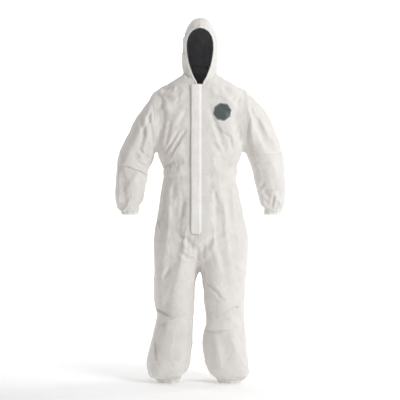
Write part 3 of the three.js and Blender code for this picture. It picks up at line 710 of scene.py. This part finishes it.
def spunbond(name, light, dark, crease=1.0, roughness=0.62, sheen=0.12):
    """Nonwoven of melt-spun fibres, bonded in dots by a hot embossed roller and laminated with a thin
    film: matt, faintly mottled where the fibres lie thicker, with fine crinkles from being packed flat."""
    material, tree = new_material(name)
    place = add(tree, "TexCoord", {}).outputs["Object"]
    cloud = add(tree, "TexNoise", {"Scale": 1 / (55 * MM), "Detail": 5.0, "Roughness": 0.6}, {"Vector": place})
    fibre = add(tree, "TexNoise", {"Scale": 1 / (2.5 * MM), "Detail": 2.0, "Distortion": 1.5}, {"Vector": place})
    patchy = add(tree, "MapRange", {"From Min": 0.3, "From Max": 0.7}, {"Value": cloud.outputs["Fac"]})
    base = add(tree, "MixRGB", {"Color1": colour(dark), "Color2": colour(light)}, {"Fac": patchy.outputs[0]})
    specks = add(tree, "MapRange", {"From Min": 0.35, "From Max": 0.75, "To Min": 0.0, "To Max": 0.22},
                 {"Value": fibre.outputs["Fac"]})
    base = add(tree, "MixRGB", {"Color2": colour(dark)}, {"Fac": specks.outputs[0], "Color1": base.outputs[0]})
    # The packing crinkles: facets about 60 mm wide, bent out of true so that no edge is straight.
    bend = add(tree, "TexNoise", {"Scale": 1 / (40 * MM), "Detail": 2.0}, {"Vector": place})
    bent = add(tree, "VectorMath", {"operation": "MULTIPLY_ADD", 1: (0.03, 0.03, 0.03)},
               {0: bend.outputs["Color"], 2: place})
    facet = add(tree, "TexVoronoi", {"feature": "DISTANCE_TO_EDGE", "Scale": 1 / (62 * MM)},
                {"Vector": bent.outputs[0]})
    valley = add(tree, "MapRange", {"From Max": 0.09}, {"Value": facet.outputs["Distance"]})
    rough = add(tree, "TexNoise", {"Scale": 1 / (16 * MM), "Detail": 5.0, "Roughness": 0.62}, {"Vector": place})
    # The bond dots are 0.8 mm apart on the real roll; they are drawn 2.4 mm apart, so that they show.
    dots = add(tree, "TexVoronoi", {"Scale": 1 / (2.4 * MM), "Randomness": 0.25}, {"Vector": place})
    dot = add(tree, "MapRange", {"From Max": 0.4}, {"Value": dots.outputs["Distance"]})
    bump = add(tree, "Bump", {"Strength": 0.5 * crease, "Distance": 1.2 * MM}, {"Height": valley.outputs[0]})
    bump = add(tree, "Bump", {"Strength": 0.5 * crease, "Distance": 1.6 * MM},
               {"Height": rough.outputs["Fac"], "Normal": bump.outputs[0]})
    bump = add(tree, "Bump", {"Strength": 0.25, "Distance": 0.12 * MM},
               {"Height": dot.outputs[0], "Normal": bump.outputs[0]})
    shader = add(
        tree, "BsdfPrincipled",
        {"Roughness": roughness, "IOR": 1.49, "Sheen Weight": sheen, "Sheen Roughness": 0.5},
        {"Base Color": base.outputs[0], "Normal": bump.outputs[0]},
    )
    add(tree, "OutputMaterial", {}, {"Surface": shader.outputs[0]})
    return material


suit_white = spunbond("laminated_spunbond_polypropylene", "#e9e7e3", "#dfdbd6")


def across_neck(piece, side=None):
    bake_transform(piece)


def across_shoulder(piece, side):
    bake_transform(piece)


def across_elbow(piece, side):
    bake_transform(piece)


def across_hip(piece):
    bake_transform(piece)


def across_knee(piece):
    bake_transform(piece)


def below_neck(face):
    """Whether a face of the skin is in the upper back, where the painted-shade facing of the hood ends."""
    x_here, y_here, z_here = skin_points[face[0]]
    return abs(x_here) < 0.13 and y_here > middle_y + 0.02 and z_here > 1.38


def panel(name, material, inset=0):
    """One piece of the skin. It keeps the whole skin's normals, so no light shows a join."""
    wanted = [panel_names.index(one) for one in name] if isinstance(name, list) else [panel_names.index(name)]
    faces = [face for face, index in skin_faces if index in wanted or (inset and below_neck(face))]
    used = sorted({index for face in faces for index in face})
    place = {index: number for number, index in enumerate(used)}
    spots = skin_points[used] - skin_normals[used] * inset
    faces = [tuple(place[index] for index in face) for face in faces]
    normals = skin_normals[used]
    if inset:
        faces = outward(faces)
        normals = -normals
    title = name + "_cloth" if isinstance(name, str) else "hood_facing"
    piece = new_mesh_object(title, [tuple(row) for row in spots], faces)
    piece.data.polygons.foreach_set("use_smooth", [True] * len(faces))
    piece.data.normals_split_custom_set_from_vertices([tuple(row) for row in normals])
    piece.data.materials.append(material)
    return piece


def ray(origin, direction):
    """Where a line from inside the suit comes out of the cloth, and the way the cloth faces there."""
    spot, normal, _, _ = skin_tree.ray_cast(Vector(origin), Vector(direction).normalized())
    if spot is None:
        return None
    if normal.dot(Vector(direction)) < 0:
        normal = -normal
    return spot, normal


def star(origin, along_x, along_y, count, start=0.0, turn=2 * math.pi):
    """Rays in a plane around a point inside the suit."""
    along_x, along_y = Vector(along_x).normalized(), Vector(along_y).normalized()
    hits = []
    for step in range(count + 1):
        angle = start + turn * step / count
        hits.append(ray(origin, along_x * math.cos(angle) + along_y * math.sin(angle)))
    return [hit for hit in hits if hit]


def column(origin_x, direction, top, bottom, step=4 * MM):
    """Rays in one direction at heights from top to bottom."""
    count = round((top - bottom) / step)
    hits = [ray((origin_x, middle_y, top - step * number), direction) for number in range(count + 1)]
    return [hit for hit in hits if hit]


def swept(name, rows, closed, material):
    """A band of cloth: rows of points side by side along it, the last joined to the first around it."""
    count, wide = len(rows), len(rows[0])
    vertices = [tuple(point) for row in rows for point in row]
    faces = []
    for number in range(count if closed else count - 1):
        a, b = number * wide, (number + 1) % count * wide
        faces += [
            (a + step, a + (step + 1) % wide, b + (step + 1) % wide, b + step) for step in range(wide)
        ]
    if not closed:
        faces.append(tuple(reversed(range(wide))))
        faces.append(tuple((count - 1) * wide + step for step in range(wide)))
    piece = new_mesh_object(name, vertices, faces)
    bm = bmesh.new()
    bm.from_mesh(piece.data)
    bmesh.ops.recalc_face_normals(bm, faces=bm.faces)
    bm.to_mesh(piece.data)
    bm.free()
    piece.data.polygons.foreach_set("use_smooth", [True] * len(piece.data.polygons))
    piece.data.materials.append(material)
    return piece


def seam(name, hits, material, width=5 * MM, height=1.1 * MM, closed=False):
    """A serged seam: a low double ridge of folded edges, which puckers a little where the thread is tight."""
    if closed:
        hits = hits[:-1]
    rows = []
    for number, (spot, normal) in enumerate(hits):
        before = hits[number - 1 if closed else max(0, number - 1)][0]
        after = hits[(number + 1) % len(hits) if closed else min(len(hits) - 1, number + 1)][0]
        across = (after - before).cross(normal).normalized()
        pucker = 1 + 0.35 * math.sin(number * 1.9) * math.sin(number * 0.37)
        rows.append([
            spot + across * width * side + normal * (height * lift * pucker - 0.3 * MM)
            for side, lift in ((-0.5, 0), (-0.28, 1), (0, 0.55), (0.28, 1), (0.5, 0), (0, -0.6))
        ])
    return swept(name, rows, closed, material)


# --- Hood ----------------------------------------------------------------------------------------------
# The hood is sewn of two curved pieces with a seam over the crown, and joined to the suit at the neck.
# It is the same laminated nonwoven.
seam_white = spunbond("serged_seam_edges", "#f1f1ef", "#d9d7d3", crease=0.3)
for side in ("left", "right"):
    hood = panel("hood_" + side, suit_white)
    across_neck(hood)
    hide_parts("hood_panel_" + side)
    if side == "left":
        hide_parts("hood_neck_fold")
crown = star((0, middle_y, 1.62), (0, -1, 0), (0, 0, 1), 90, math.radians(54), math.radians(135))
crown_seam = seam("hood_crown_seam", crown, seam_white)
across_neck(crown_seam)
neck_ring = star(neck_point, (1, 0, 0), (0, 1, 0.4), 150, math.radians(-72), math.radians(324))
neck_seam = seam("neck_seam", neck_ring, seam_white)
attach(neck_seam, "trunk")

# --- Hood facing, painted shade ---------------------------------------------------------------------------
# Inside the hood, 3 mm in from the sheet, a facing is sewn in at the rim and at the neck seam. Its mid-grey
# colour is painted shade, darker than the suit's white; it looks darker still from the front because it lies in the
# hood's own shadow.
painted_shade_grey = spunbond("painted_shade_grey_facing", "#a4a4a7", "#838386", crease=0.8, roughness=0.8, sheen=0.05)
lining = panel(["hood_left", "hood_right"], painted_shade_grey, inset=3 * MM)
across_neck(lining)
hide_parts("hood_lining")

# --- Rim of the hood ----------------------------------------------------------------------------------------
# The face opening is bound with a narrow hem around a rubber elastic, which gathers it a little.
hem_white = spunbond("elasticated_hem", "#f7f7f5", "#e6e4e0", crease=0.25)
outline = smooth_rows([(half, 0, height) for height, half in face_outline], 3 * MM)
outline = [(row[0], row[2]) for row in outline if row[2] > 1.4625]
outline = outline + [(-half, height) for half, height in reversed(outline[:-1])]
outline = [spot for spot in outline if not (spot[1] < 1.5 and abs(spot[0] - zip_x) < slot_half + 2 * MM)]
rim_rows = []
for number, (x_here, z_here) in enumerate(outline):
    before = Vector((*outline[max(0, number - 1)], 0))
    after = Vector((*outline[min(len(outline) - 1, number + 1)], 0))
    away = (after - before).cross(Vector((0, 0, 1))).normalized()
    hits = [
        ray((x_here + away.x * gap * MM, middle_y, z_here + away.y * gap * MM), (0, -1, 0)) for gap in (1.5, 4, 8)
    ]
    if all(hits):
        edge = hits[0][0] - Vector((away.x, 0, away.y)) * 2.4 * MM
        full = 1 + 0.25 * math.sin(number * 0.9) * math.sin(number * 0.23)
        rim_rows.append([
            edge + Vector((0, 0.8, 0)) * MM,
            edge - Vector((0, 1.0 * full, 0)) * MM,
            hits[0][0] + hits[0][1] * 2.0 * full * MM,
            hits[1][0] + hits[1][1] * 2.2 * full * MM,
            hits[2][0] + hits[2][1] * 1.2 * MM,
            hits[2][0] - hits[2][1] * 0.6 * MM,
            hits[1][0] - hits[1][1] * 3.6 * MM,
            hits[0][0] - hits[0][1] * 3.8 * MM,
        ])
rim_hem = swept("face_hem", rim_rows, False, hem_white)
across_neck(rim_hem)
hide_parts("face_elastic")

# --- Trunk --------------------------------------------------------------------------------------------------
# Two fronts and two backs are sewn at the sides, down the middle of the back and below the zip. They
# run on over the hips to a seam in the thigh, and the crotch seam joins all four.
for side, sign in side_sign.items():
    for layer in ("front", "back"):
        body_panel = panel(f"{layer}_{side}", suit_white)
        across_hip(body_panel)
        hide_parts(f"{layer}_panel_{side}")
        if layer == "front":
            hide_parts("hip_fold_" + side)
    side_hits = column(sign * 0.12, (sign, 0, 0), 1.12, leg_seam_z)
    side_seam = seam("side_seam_" + side, side_hits, seam_white)
    across_hip(side_seam)
for name, hits in (
    ("centre_front_seam", column(zip_x, (0, -1, 0), zip_bottom - 12 * MM, 0.606)),
    ("centre_back_seam", column(0, (0, 1, 0), 1.545, 0.606)),
):
    middle_seam = seam(name, hits, seam_white)
    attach(middle_seam, "trunk")

# --- Waist elastic --------------------------------------------------------------------------------------------
# A narrow elastic is glued and stitched inside the waist and pulls the sheet into small gathers.
waist_hits = star((0, middle_y, waist_z), (0, -1, 0), (1, 0, 0), 240, math.radians(72), math.radians(216))
waist_band = seam("waist_gather_seam", waist_hits, seam_white, width=8 * MM, height=0.8 * MM)
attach(waist_band, "trunk")
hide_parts("waist_elastic")

# --- Sleeves ---------------------------------------------------------------------------------------------------
# Each sleeve is one wide tube with an underarm seam and a pieced seam near the elbow, set into a nearly
# straight armhole. The cuff is gathered over rubber elastic.
for side, sign in side_sign.items():
    for part, fold_node, bend, flat in (
        ("upper_sleeve_", "shoulder_fold_", across_shoulder, (0.46, 0.29)),
        ("lower_sleeve_", "elbow_fold_", across_elbow, (0.45, 0.31)),
    ):
        sleeve = panel(part + side, suit_white)
        bend(sleeve, side)
        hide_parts(part + side, fold_node + side)
    armhole = star((sign * armhole_x, middle_y, 1.29), (0, 1, 0), (0, 0, 1), 150)
    armhole_seam = seam("armhole_seam_" + side, armhole, seam_white, closed=True)
    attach(armhole_seam, "trunk")
    underarm = column(sign * 0.335, (-sign, 0, 0), 1.06, cuff_z + 8 * MM)
    underarm_seam = seam("underarm_seam_" + side, underarm, seam_white)
    across_elbow(underarm_seam, side)
    if side == "left":
        piecing = star((0.325, middle_y, 1.124), (1, 0, 0.14), (0, 1, 0), 120)
    else:
        piecing = star((-0.335, middle_y, 1.056), (1, 0, -0.38), (0, 1, 0), 120)
    piecing_seam = seam("sleeve_piecing_seam_" + side, piecing, seam_white, closed=True)
    (across_shoulder if side == "left" else across_elbow)(piecing_seam, side)


def ring_band(name, centre_x, rows, material):
    """A gathered hem around an opening. Rows are (height to look for the cloth, height to put the hem)."""
    rings = []
    for step in range(144):
        angle = 2 * math.pi * step / 144
        out = Vector((math.cos(angle), math.sin(angle), 0))
        spots = []
        for seek, put in rows:
            hit = None
            while hit is None:
                hit = ray((centre_x, middle_y, seek), out)
                seek += 1 * MM
            spot = Vector(hit[0])
            spot.z = put
            spots.append(spot)
        outer = [spot + out * 1.4 * MM for spot in spots]
        inner = [spot - out * 0.9 * MM for spot in reversed(spots)]
        rings.append([*outer, *inner])
    return swept(name, rings, True, material)


for side, sign in side_sign.items():
    cuff_low, cuff_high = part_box("wrist_elastic_" + side)
    rows = [(cuff_z + 3 * MM, cuff_z), (cuff_z + 4 * MM, cuff_z + 4 * MM), (cuff_z + 9 * MM, cuff_z + 9 * MM),
            (cuff_z + 12 * MM, cuff_z + 12 * MM)]
    cuff_hem = ring_band("cuff_hem_" + side, (cuff_low.x + cuff_high.x) / 2, rows, hem_white)
    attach(cuff_hem, side + "_forearm")
    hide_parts("wrist_elastic_" + side)

# --- Legs ----------------------------------------------------------------------------------------------------------
# Below the pieced seam in the thigh each leg is a front and a back, sewn along the inside and the
# outside. The ankle is gathered over rubber elastic, and the wide leg bags over it.
for side, sign in side_sign.items():
    for layer in ("front", "back"):
        leg = panel(f"leg_{layer}_{side}", suit_white)
        across_knee(leg)
        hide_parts(f"thigh_{layer}_{side}", f"shin_{layer}_{side}")
        if layer == "front":
            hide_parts("knee_fold_" + side)
    for name, way, low in (("inside_leg_seam_", -sign, 0.02), ("outside_leg_seam_", sign, 0.02)):
        leg_hits = column(sign * 0.135, (way, 0, 0), leg_seam_z - 2 * MM, low)
        leg_seam = seam(name + side, leg_hits, seam_white)
        across_knee(leg_seam)
    if side == "left":
        # This leg is turned out, so that the lower end of its inside seam runs over the front.
        twist = [(103, 10), (97, 50), (88, 100), (78, 150), (69, 185)]
        twist_rows = smooth_rows([(x_here, 0, z_here) for x_here, z_here in twist], 4)
        twist_hits = [ray((row[0] * MM, middle_y, row[2] * MM), (0, -1, 0)) for row in twist_rows]
        twist_seam = seam("turned_leg_seam_left", [hit for hit in twist_hits if hit], hem_white, 4 * MM)
        across_knee(twist_seam)
    thigh_ring = star((sign * 0.125, middle_y, 0.502), (1, 0, -0.07 if side == "left" else 0.02), (0, 1, 0), 160)
    thigh_seam = seam("thigh_piecing_seam_" + side, thigh_ring, seam_white, closed=True)
    across_hip(thigh_seam)
    ring_low, ring_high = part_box("ankle_elastic_" + side)
    rows = [(hem_z + 3 * MM, suit_low.z + 0.5 * MM), (hem_z + 3 * MM, suit_low.z + 4 * MM),
            (hem_z + 7 * MM, suit_low.z + 10 * MM), (hem_z + 11 * MM, suit_low.z + 14 * MM)]
    hem_x = sign * (147 if side == "left" else 155) * MM
    ankle_hem = ring_band("ankle_hem_" + side, hem_x, rows, hem_white)
    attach(ankle_hem, side + "_shin")
    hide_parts("ankle_elastic_" + side)

# --- Zip ---------------------------------------------------------------------------------------------------------------
# A nylon coil zip runs from under the chin to below the waist. The coils are stitched to woven tapes
# behind the edges of the fronts; the slider, its pull and the stops are die-cast zinc.
coil_pitch = 2.6 * MM
coil_wire = 0.38 * MM


def moulded(name, light, roughness, grain):
    """Nylon monofilament: smooth and slightly waxy, with a soft highlight and faint cloudiness."""
    material, tree = new_material(name)
    place = add(tree, "TexCoord", {}).outputs["Object"]
    cloud = add(tree, "TexNoise", {"Scale": 1 / grain, "Detail": 3.0}, {"Vector": place})
    rough = add(tree, "MapRange", {"To Min": roughness - 0.08, "To Max": roughness + 0.08},
                {"Value": cloud.outputs["Fac"]})
    bump = add(tree, "Bump", {"Strength": 0.3, "Distance": 0.05 * MM}, {"Height": cloud.outputs["Fac"]})
    shader = add(tree, "BsdfPrincipled", {"Base Color": colour(light), "IOR": 1.53},
                 {"Roughness": rough.outputs[0], "Normal": bump.outputs[0]})
    add(tree, "OutputMaterial", {}, {"Surface": shader.outputs[0]})
    return material


def woven_tape(name):
    """Polyester herringbone tape: fine twill ribs with a dull sheen. The ribs are 0.9 mm apart on the real
    tape and are drawn 1.4 mm apart, so that they show."""
    material, tree = new_material(name)
    place = add(tree, "TexCoord", {}).outputs["Object"]
    ribs = add(tree, "TexWave", {"Scale": 1 / (1.4 * MM) / 20, "Distortion": 0.6, "bands_direction": "DIAGONAL"},
               {"Vector": place})
    tint = add(tree, "MixRGB", {"Color1": colour("#cfcdc8"), "Color2": colour("#ecebe8")},
               {"Fac": ribs.outputs["Fac"]})
    bump = add(tree, "Bump", {"Strength": 0.6, "Distance": 0.15 * MM}, {"Height": ribs.outputs["Fac"]})
    shader = add(tree, "BsdfPrincipled", {"Roughness": 0.75, "Sheen Weight": 0.2},
                 {"Base Color": tint.outputs[0], "Normal": bump.outputs[0]})
    add(tree, "OutputMaterial", {}, {"Surface": shader.outputs[0]})
    return material


def die_cast_zinc(name):
    """Zinc, die cast and tumbled: a soft grey metal with small scratches and a satin gloss."""
    material, tree = new_material(name)
    place = add(tree, "TexCoord", {}).outputs["Object"]
    scratches = add(tree, "TexNoise", {"Scale": 1 / (0.8 * MM), "Detail": 6.0, "Distortion": 2.0}, {"Vector": place})
    tint = add(tree, "MixRGB", {"Color1": colour("#9d9fa1"), "Color2": colour("#c9cacb")},
               {"Fac": scratches.outputs["Fac"]})
    rough = add(tree, "MapRange", {"To Min": 0.25, "To Max": 0.45}, {"Value": scratches.outputs["Fac"]})
    bump = add(tree, "Bump", {"Strength": 0.2, "Distance": 0.03 * MM}, {"Height": scratches.outputs["Fac"]})
    shader = add(tree, "BsdfPrincipled", {"Metallic": 1.0},
                 {"Base Color": tint.outputs[0], "Roughness": rough.outputs[0], "Normal": bump.outputs[0]})
    add(tree, "OutputMaterial", {}, {"Surface": shader.outputs[0]})
    return material


def refinish(node, material):
    """Give a CAD piece that is right in shape its real finish."""
    piece = frame["nodes"][node]
    piece.data.materials.clear()
    piece.data.materials.append(material)


nylon = moulded("nylon_coil", "#e9e9e6", 0.38, 4 * MM)
tape_cloth = woven_tape("woven_polyester_tape")
zinc = die_cast_zinc("die_cast_zinc")
for node in ("zip_tape_left", "zip_tape_right"):
    refinish(node, tape_cloth)
for node in ("zip_slider", "zip_pull", "zip_top_stop_left", "zip_top_stop_right", "zip_bottom_stop"):
    refinish(node, zinc)
zip_run = zip_high.z - zip_low.z
for side, sign in side_sign.items():
    turns = int(zip_run / coil_pitch)
    shift = 0.5 if side == "left" else 0
    rows = []
    for number in range(turns * 10):
        angle = 2 * math.pi * number / 10
        z_here = zip_low.z + (number / 10 + shift) * coil_pitch * 0.995
        share = (z_here - zip_low.z) / zip_run
        y_here = zip_low.y + (zip_high.y - zip_low.y - 2.6 * MM) * share + 1.3 * MM
        middle = Vector((zip_x + sign * 1.85 * MM, y_here, z_here))
        out = Vector((math.cos(angle), math.sin(angle) * 1.15, 0))
        spine = middle + out * 0.64 * MM
        up = Vector((0, 0, 1))
        rows.append([
            spine + (out * math.cos(turn) + up * math.sin(turn)) * coil_wire
            for turn in (0, math.pi / 2, math.pi, 3 * math.pi / 2)
        ])
    coil = swept("zip_coil_" + side, rows, False, nylon)
    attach(coil, "trunk")
    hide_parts("zip_teeth_" + side)

# --- Storm flap ----------------------------------------------------------------------------------------------------------
# A double layer of the suit's cloth covers the zip. It is sewn down along the wearer's left of the
# zip and lies free over it, held shut by a strip of adhesive under its free edge.
flap_low, flap_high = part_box("storm_flap")
# The flap's cloth is coloured lighter than the suit's: painted light, so the flap looks more brightly lit.
flap_painted_light_white = spunbond("double_layer_flap_cloth_painted_lighter", "#f5f4f2", "#ebe9e6", crease=0.9)
flap_thick = 1.5 * MM
flap_round = 14 * MM  # how far the lower corners are cut back


def flap_front(z_here):
    """The cloth's front under the flap."""
    return middle_y - front_at(z_here / MM) * MM


def flap_spot(share, z_here, inner):
    """A point of the flap, by its share of the way from the free edge to the sewn one."""
    low_share = np.clip((z_here - flap_low.z) / flap_round, 0, 1)
    left_edge = flap_low.x + 8 * MM * (1 - low_share)
    right_edge = flap_high.x - 11 * MM * (1 - low_share)
    x_here = left_edge + (right_edge - left_edge) * share
    seam_share = min(max((flap_high.x - x_here) / (13 * MM), 0), 1)
    over_slider = float(eased(z_here, flap_high.z - 75 * MM, flap_high.z - 45 * MM))
    proud = (0.9 + (6.4 + 2.3 * over_slider) * (1 - (1 - seam_share) ** 1.6)) * MM
    free_share = min(max((x_here - flap_low.x) / (22 * MM), 0), 1)
    proud -= 1.4 * MM * (1 - free_share) ** 2
    wave = noise.noise(Vector((x_here * 14, 3.3, z_here * 12))) * 2.6
    wave += noise.noise(Vector((x_here * 40, 8.1, z_here * 38))) * 1.1
    proud += max(wave, -1.2) * MM * seam_share * (1 - over_slider)
    edge_wave = noise.noise(Vector((0, 5.5, z_here * 11))) * 1.6 * MM * (1 - share)
    edge = min(share, 1 - share)
    rounding = 1 - (1 - min(1, edge / 0.03)) ** 2
    half = flap_thick * 0.5 * (0.35 + 0.65 * rounding)
    side = -1 if inner else 1
    return Vector((x_here + edge_wave * seam_share, flap_front(z_here) - proud - side * half, z_here))


flap_across, flap_steps = 26, 240
flap_rows = []
for number in range(flap_steps + 1):
    z_here = flap_low.z + 1 * MM + (flap_high.z - flap_low.z - 2 * MM) * number / flap_steps
    shares = [step / flap_across for step in range(flap_across + 1)]
    flap_rows.append(
        [flap_spot(share, z_here, False) for share in shares]
        + [flap_spot(share, z_here, True) for share in reversed(shares)]
    )
flap = swept("storm_flap_cloth", flap_rows, False, flap_painted_light_white)
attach(flap, "flap")
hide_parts("storm_flap")


def stitches(name, spots, length, thick, material):
    """Small raised stitches of polyester thread. Spots are (middle, direction, way out)."""
    vertices, faces = [], []
    for middle, along, out in spots:
        across = along.cross(out).normalized()
        base = len(vertices)
        for share, size in ((-0.5, 0.3), (-0.25, 1), (0.25, 1), (0.5, 0.3)):
            for turn in range(4):
                angle = turn * math.pi / 2
                spread = across * math.cos(angle) + out * (math.sin(angle) * 0.7)
                vertices.append(middle + along * length * share + spread * thick * 0.5 * size)
        for ring in range(3):
            for turn in range(4):
                a, b = base + ring * 4 + turn, base + ring * 4 + (turn + 1) % 4
                faces.append((a, b, b + 4, a + 4))
        faces.append((base + 3, base + 2, base + 1, base))
        faces.append((base + 12, base + 13, base + 14, base + 15))
    piece = new_mesh_object(name, [tuple(vertex) for vertex in vertices], faces)
    piece.data.polygons.foreach_set("use_smooth", [True] * len(faces))
    piece.data.materials.append(material)
    return piece


thread = moulded("spun_polyester_thread", "#f4f4f2", 0.6, 1 * MM)
flap_stitch_spots = []
for line_share in (0.05, 0.9, 0.955):
    for number in range(118):
        z_here = flap_low.z + 18 * MM + number * 6 * MM
        here = flap_spot(line_share, z_here, False)
        above = flap_spot(line_share, z_here + 4 * MM, False)
        flap_stitch_spots.append((here, (above - here).normalized(), Vector((0, -1, 0))))
flap_thread = stitches("flap_topstitching", flap_stitch_spots, 4.2 * MM, 0.9 * MM, thread)
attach(flap_thread, "flap")

# The adhesive strip is glued inside the free edge, under a peel-off paper.
strip_low, strip_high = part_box("flap_adhesive_tape")
release_paper = moulded("silicone_release_paper", "#dfe3e0", 0.45, 20 * MM)
strip_rows = []
for number in range(161):
    z_here = strip_low.z + (strip_high.z - strip_low.z) * number / 160
    ends = []
    for x_here in (strip_low.x, (strip_low.x + strip_high.x) / 2, strip_high.x):
        share = (x_here - flap_low.x) / (flap_high.x - flap_low.x)
        ends.append(flap_spot(share, z_here, True))
    rise = Vector((0, 0.45, 0)) * MM
    strip_rows.append([end + rise * 0.2 for end in ends] + [end + rise for end in reversed(ends)])
strip = swept("adhesive_strip", strip_rows, False, release_paper)
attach(strip, "flap")
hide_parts("flap_adhesive_tape")

# --- Chest label -------------------------------------------------------------------------------------------------------------
# An eight-sided patch of printed film is welded to the wearer's left breast: slate with a pale border.
# It is left blank inside its border.
label_low, label_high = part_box("chest_label")
label_middle = Vector(((label_low.x + label_high.x) / 2, 0, (label_low.z + label_high.z) / 2))
label_half = 45.5 * MM  # half of its width across two flat sides
label_turn = math.radians(-10)


def printed_film(name, light, dark, roughness):
    """Polyester film, printed and heat sealed: even colour and a satin gloss, with faint waves."""
    material, tree = new_material(name)
    place = add(tree, "TexCoord", {}).outputs["Object"]
    wave = add(tree, "TexNoise", {"Scale": 1 / (18 * MM), "Detail": 3.0}, {"Vector": place})
    tint = add(tree, "MixRGB", {"Color1": colour(dark), "Color2": colour(light)}, {"Fac": wave.outputs["Fac"]})
    bump = add(tree, "Bump", {"Strength": 0.3, "Distance": 0.6 * MM}, {"Height": wave.outputs["Fac"]})
    shader = add(tree, "BsdfPrincipled", {"Roughness": roughness, "IOR": 1.57},
                 {"Base Color": tint.outputs[0], "Normal": bump.outputs[0]})
    add(tree, "OutputMaterial", {}, {"Surface": shader.outputs[0]})
    return material


slate_film = printed_film("slate_printed_film", "#56625f", "#48534f", 0.45)
border_film = printed_film("white_printed_film", "#ffffff", "#f3f3f2", 0.5)
label_rings = [0.12, 0.3, 0.48, 0.64, 0.78, 0.86, 0.885, 0.94, 0.945, 1.0, 1.004]
label_sides = 64
label_points, label_faces, label_finish = [], [], []
centre_hit = ray((label_middle.x, middle_y, label_middle.z), (0, -1, 0))
for ring_number, ring_share in enumerate([0] + label_rings):
    for number in range(label_sides if ring_number else 1):
        angle = 2 * math.pi * number / label_sides
        nearest_flat = (angle + math.pi / 8) % (math.pi / 4) - math.pi / 8
        reach = label_half * ring_share / math.cos(nearest_flat)
        x_here = label_middle.x + reach * math.cos(angle + label_turn)
        z_here = label_middle.z + reach * math.sin(angle + label_turn)
        near_hits = [
            ray((x_here + dx * MM, middle_y, z_here + dz * MM), (0, -1, 0))
            for dx, dz in ((0, 0), (6, 0), (-6, 0), (0, 6), (0, -6))
        ]
        y_here = sum(hit[0].y for hit in near_hits) / 5
        y_here = min(y_here, near_hits[0][0].y)
        lift = 0.9 * MM if ring_number < len(label_rings) else 0.1 * MM
        label_points.append((x_here, y_here - lift, z_here))
for number in range(label_sides):
    label_faces.append((0, 1 + (number + 1) % label_sides, 1 + number))
    label_finish.append(0)
for ring_number in range(1, len(label_rings)):
    a, b = 1 + (ring_number - 1) * label_sides, 1 + ring_number * label_sides
    for number in range(label_sides):
        after = (number + 1) % label_sides
        label_faces.append((a + number, a + after, b + after, b + number))
        label_finish.append(1 if label_rings[ring_number] > 0.95 or label_rings[ring_number] == 0.885 else 0)
label = new_mesh_object("chest_patch", label_points, label_faces)
label.data.materials.append(slate_film)
label.data.materials.append(border_film)
label.data.polygons.foreach_set("material_index", label_finish)
label.data.polygons.foreach_set("use_smooth", [True] * len(label_faces))
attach(label, "trunk")
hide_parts("chest_label")

# --- Size label ------------------------------------------------------------------------------------------------------------------
# A small loop of coated paper cloth is sewn inside the back of the neck. It is left blank.
refinish("size_label", printed_film("coated_label_paper", "#f3f3f0", "#e3e3df", 0.6))

# --- Studio --------------------------------------------------------------------------------------------------------------------------
# A white floor that runs up into a white backdrop, under large soft lights.


def studio_white(name, code):
    """Matt white translucent board lit faintly from behind, with the slightest unevenness."""
    material, tree = new_material(name)
    place = add(tree, "TexCoord", {}).outputs["Object"]
    cloud = add(tree, "TexNoise", {"Scale": 2.0, "Detail": 2.0}, {"Vector": place})
    rough = add(tree, "MapRange", {"To Min": 0.75, "To Max": 0.9}, {"Value": cloud.outputs["Fac"]})
    shader = add(tree, "BsdfPrincipled", {
        "Base Color": colour(code), "Specular IOR Level": 0.2,
        "Emission Color": colour(code), "Emission Strength": 0.13,
    }, {"Roughness": rough.outputs[0]})
    add(tree, "OutputMaterial", {}, {"Surface": shader.outputs[0]})
    return material


sweep_half, sweep_front, sweep_back, sweep_radius, sweep_height = 30.0, -30.0, 4.0, 2.5, 14.0
sweep_line = [(sweep_front, 0), (sweep_back, 0)]
for step in range(1, 17):
    angle = math.pi / 2 * step / 16
    sweep_line.append((sweep_back + sweep_radius * math.sin(angle), sweep_radius * (1 - math.cos(angle))))
sweep_line.append((sweep_back + sweep_radius, sweep_height))
sweep_vertices = [(x_here, y_here, suit_low.z + z_here) for y_here, z_here in sweep_line
                  for x_here in (-sweep_half, sweep_half)]
sweep_faces = [(2 * step, 2 * step + 1, 2 * step + 3, 2 * step + 2) for step in range(len(sweep_line) - 1)]
sweep = new_mesh_object("studio_sweep", sweep_vertices, sweep_faces)
sweep.data.polygons.foreach_set("use_smooth", [True] * len(sweep_faces))
sweep.data.materials.append(studio_white("white_painted_board", "#fbfbfb"))


def soft_light(name, place, target, width, height, watts, tint="#ffffff"):
    light = bpy.data.lights.new(name, "AREA")
    light.shape = "RECTANGLE"
    light.size = width
    light.size_y = height
    light.energy = watts
    light.color = colour(tint)[:3]
    holder = bpy.data.objects.new(name, light)
    holder.location = place
    holder.rotation_euler = (Vector(target) - Vector(place)).to_track_quat("-Z", "Y").to_euler()
    bpy.context.collection.objects.link(holder)


chest = (0, 0, 1.0)
soft_light("key", (2.9, -2.6, 2.3), chest, 1.3, 1.6, 81)
soft_light("fill", (-3.2, -3.6, 1.6), chest, 2.2, 2.2, 12, "#ffe6d0")
soft_light("top", (0.4, -0.6, 4.4), chest, 2.5, 2.0, 30)
soft_light("backdrop_left", (-3.5, 1.5, 3.0), (-1.5, 6.0, 1.5), 2.5, 2.5, 160)
soft_light("backdrop_right", (3.5, 1.5, 3.0), (1.5, 6.0, 1.5), 2.5, 2.5, 160)
world = bpy.data.worlds.new("studio")
world.use_nodes = True
world.node_tree.nodes["Background"].inputs["Color"].default_value = colour("#f4f4f6")
world.node_tree.nodes["Background"].inputs["Strength"].default_value = 0.3
bpy.context.scene.world = world
bpy.context.scene.view_settings.view_transform = "Standard"
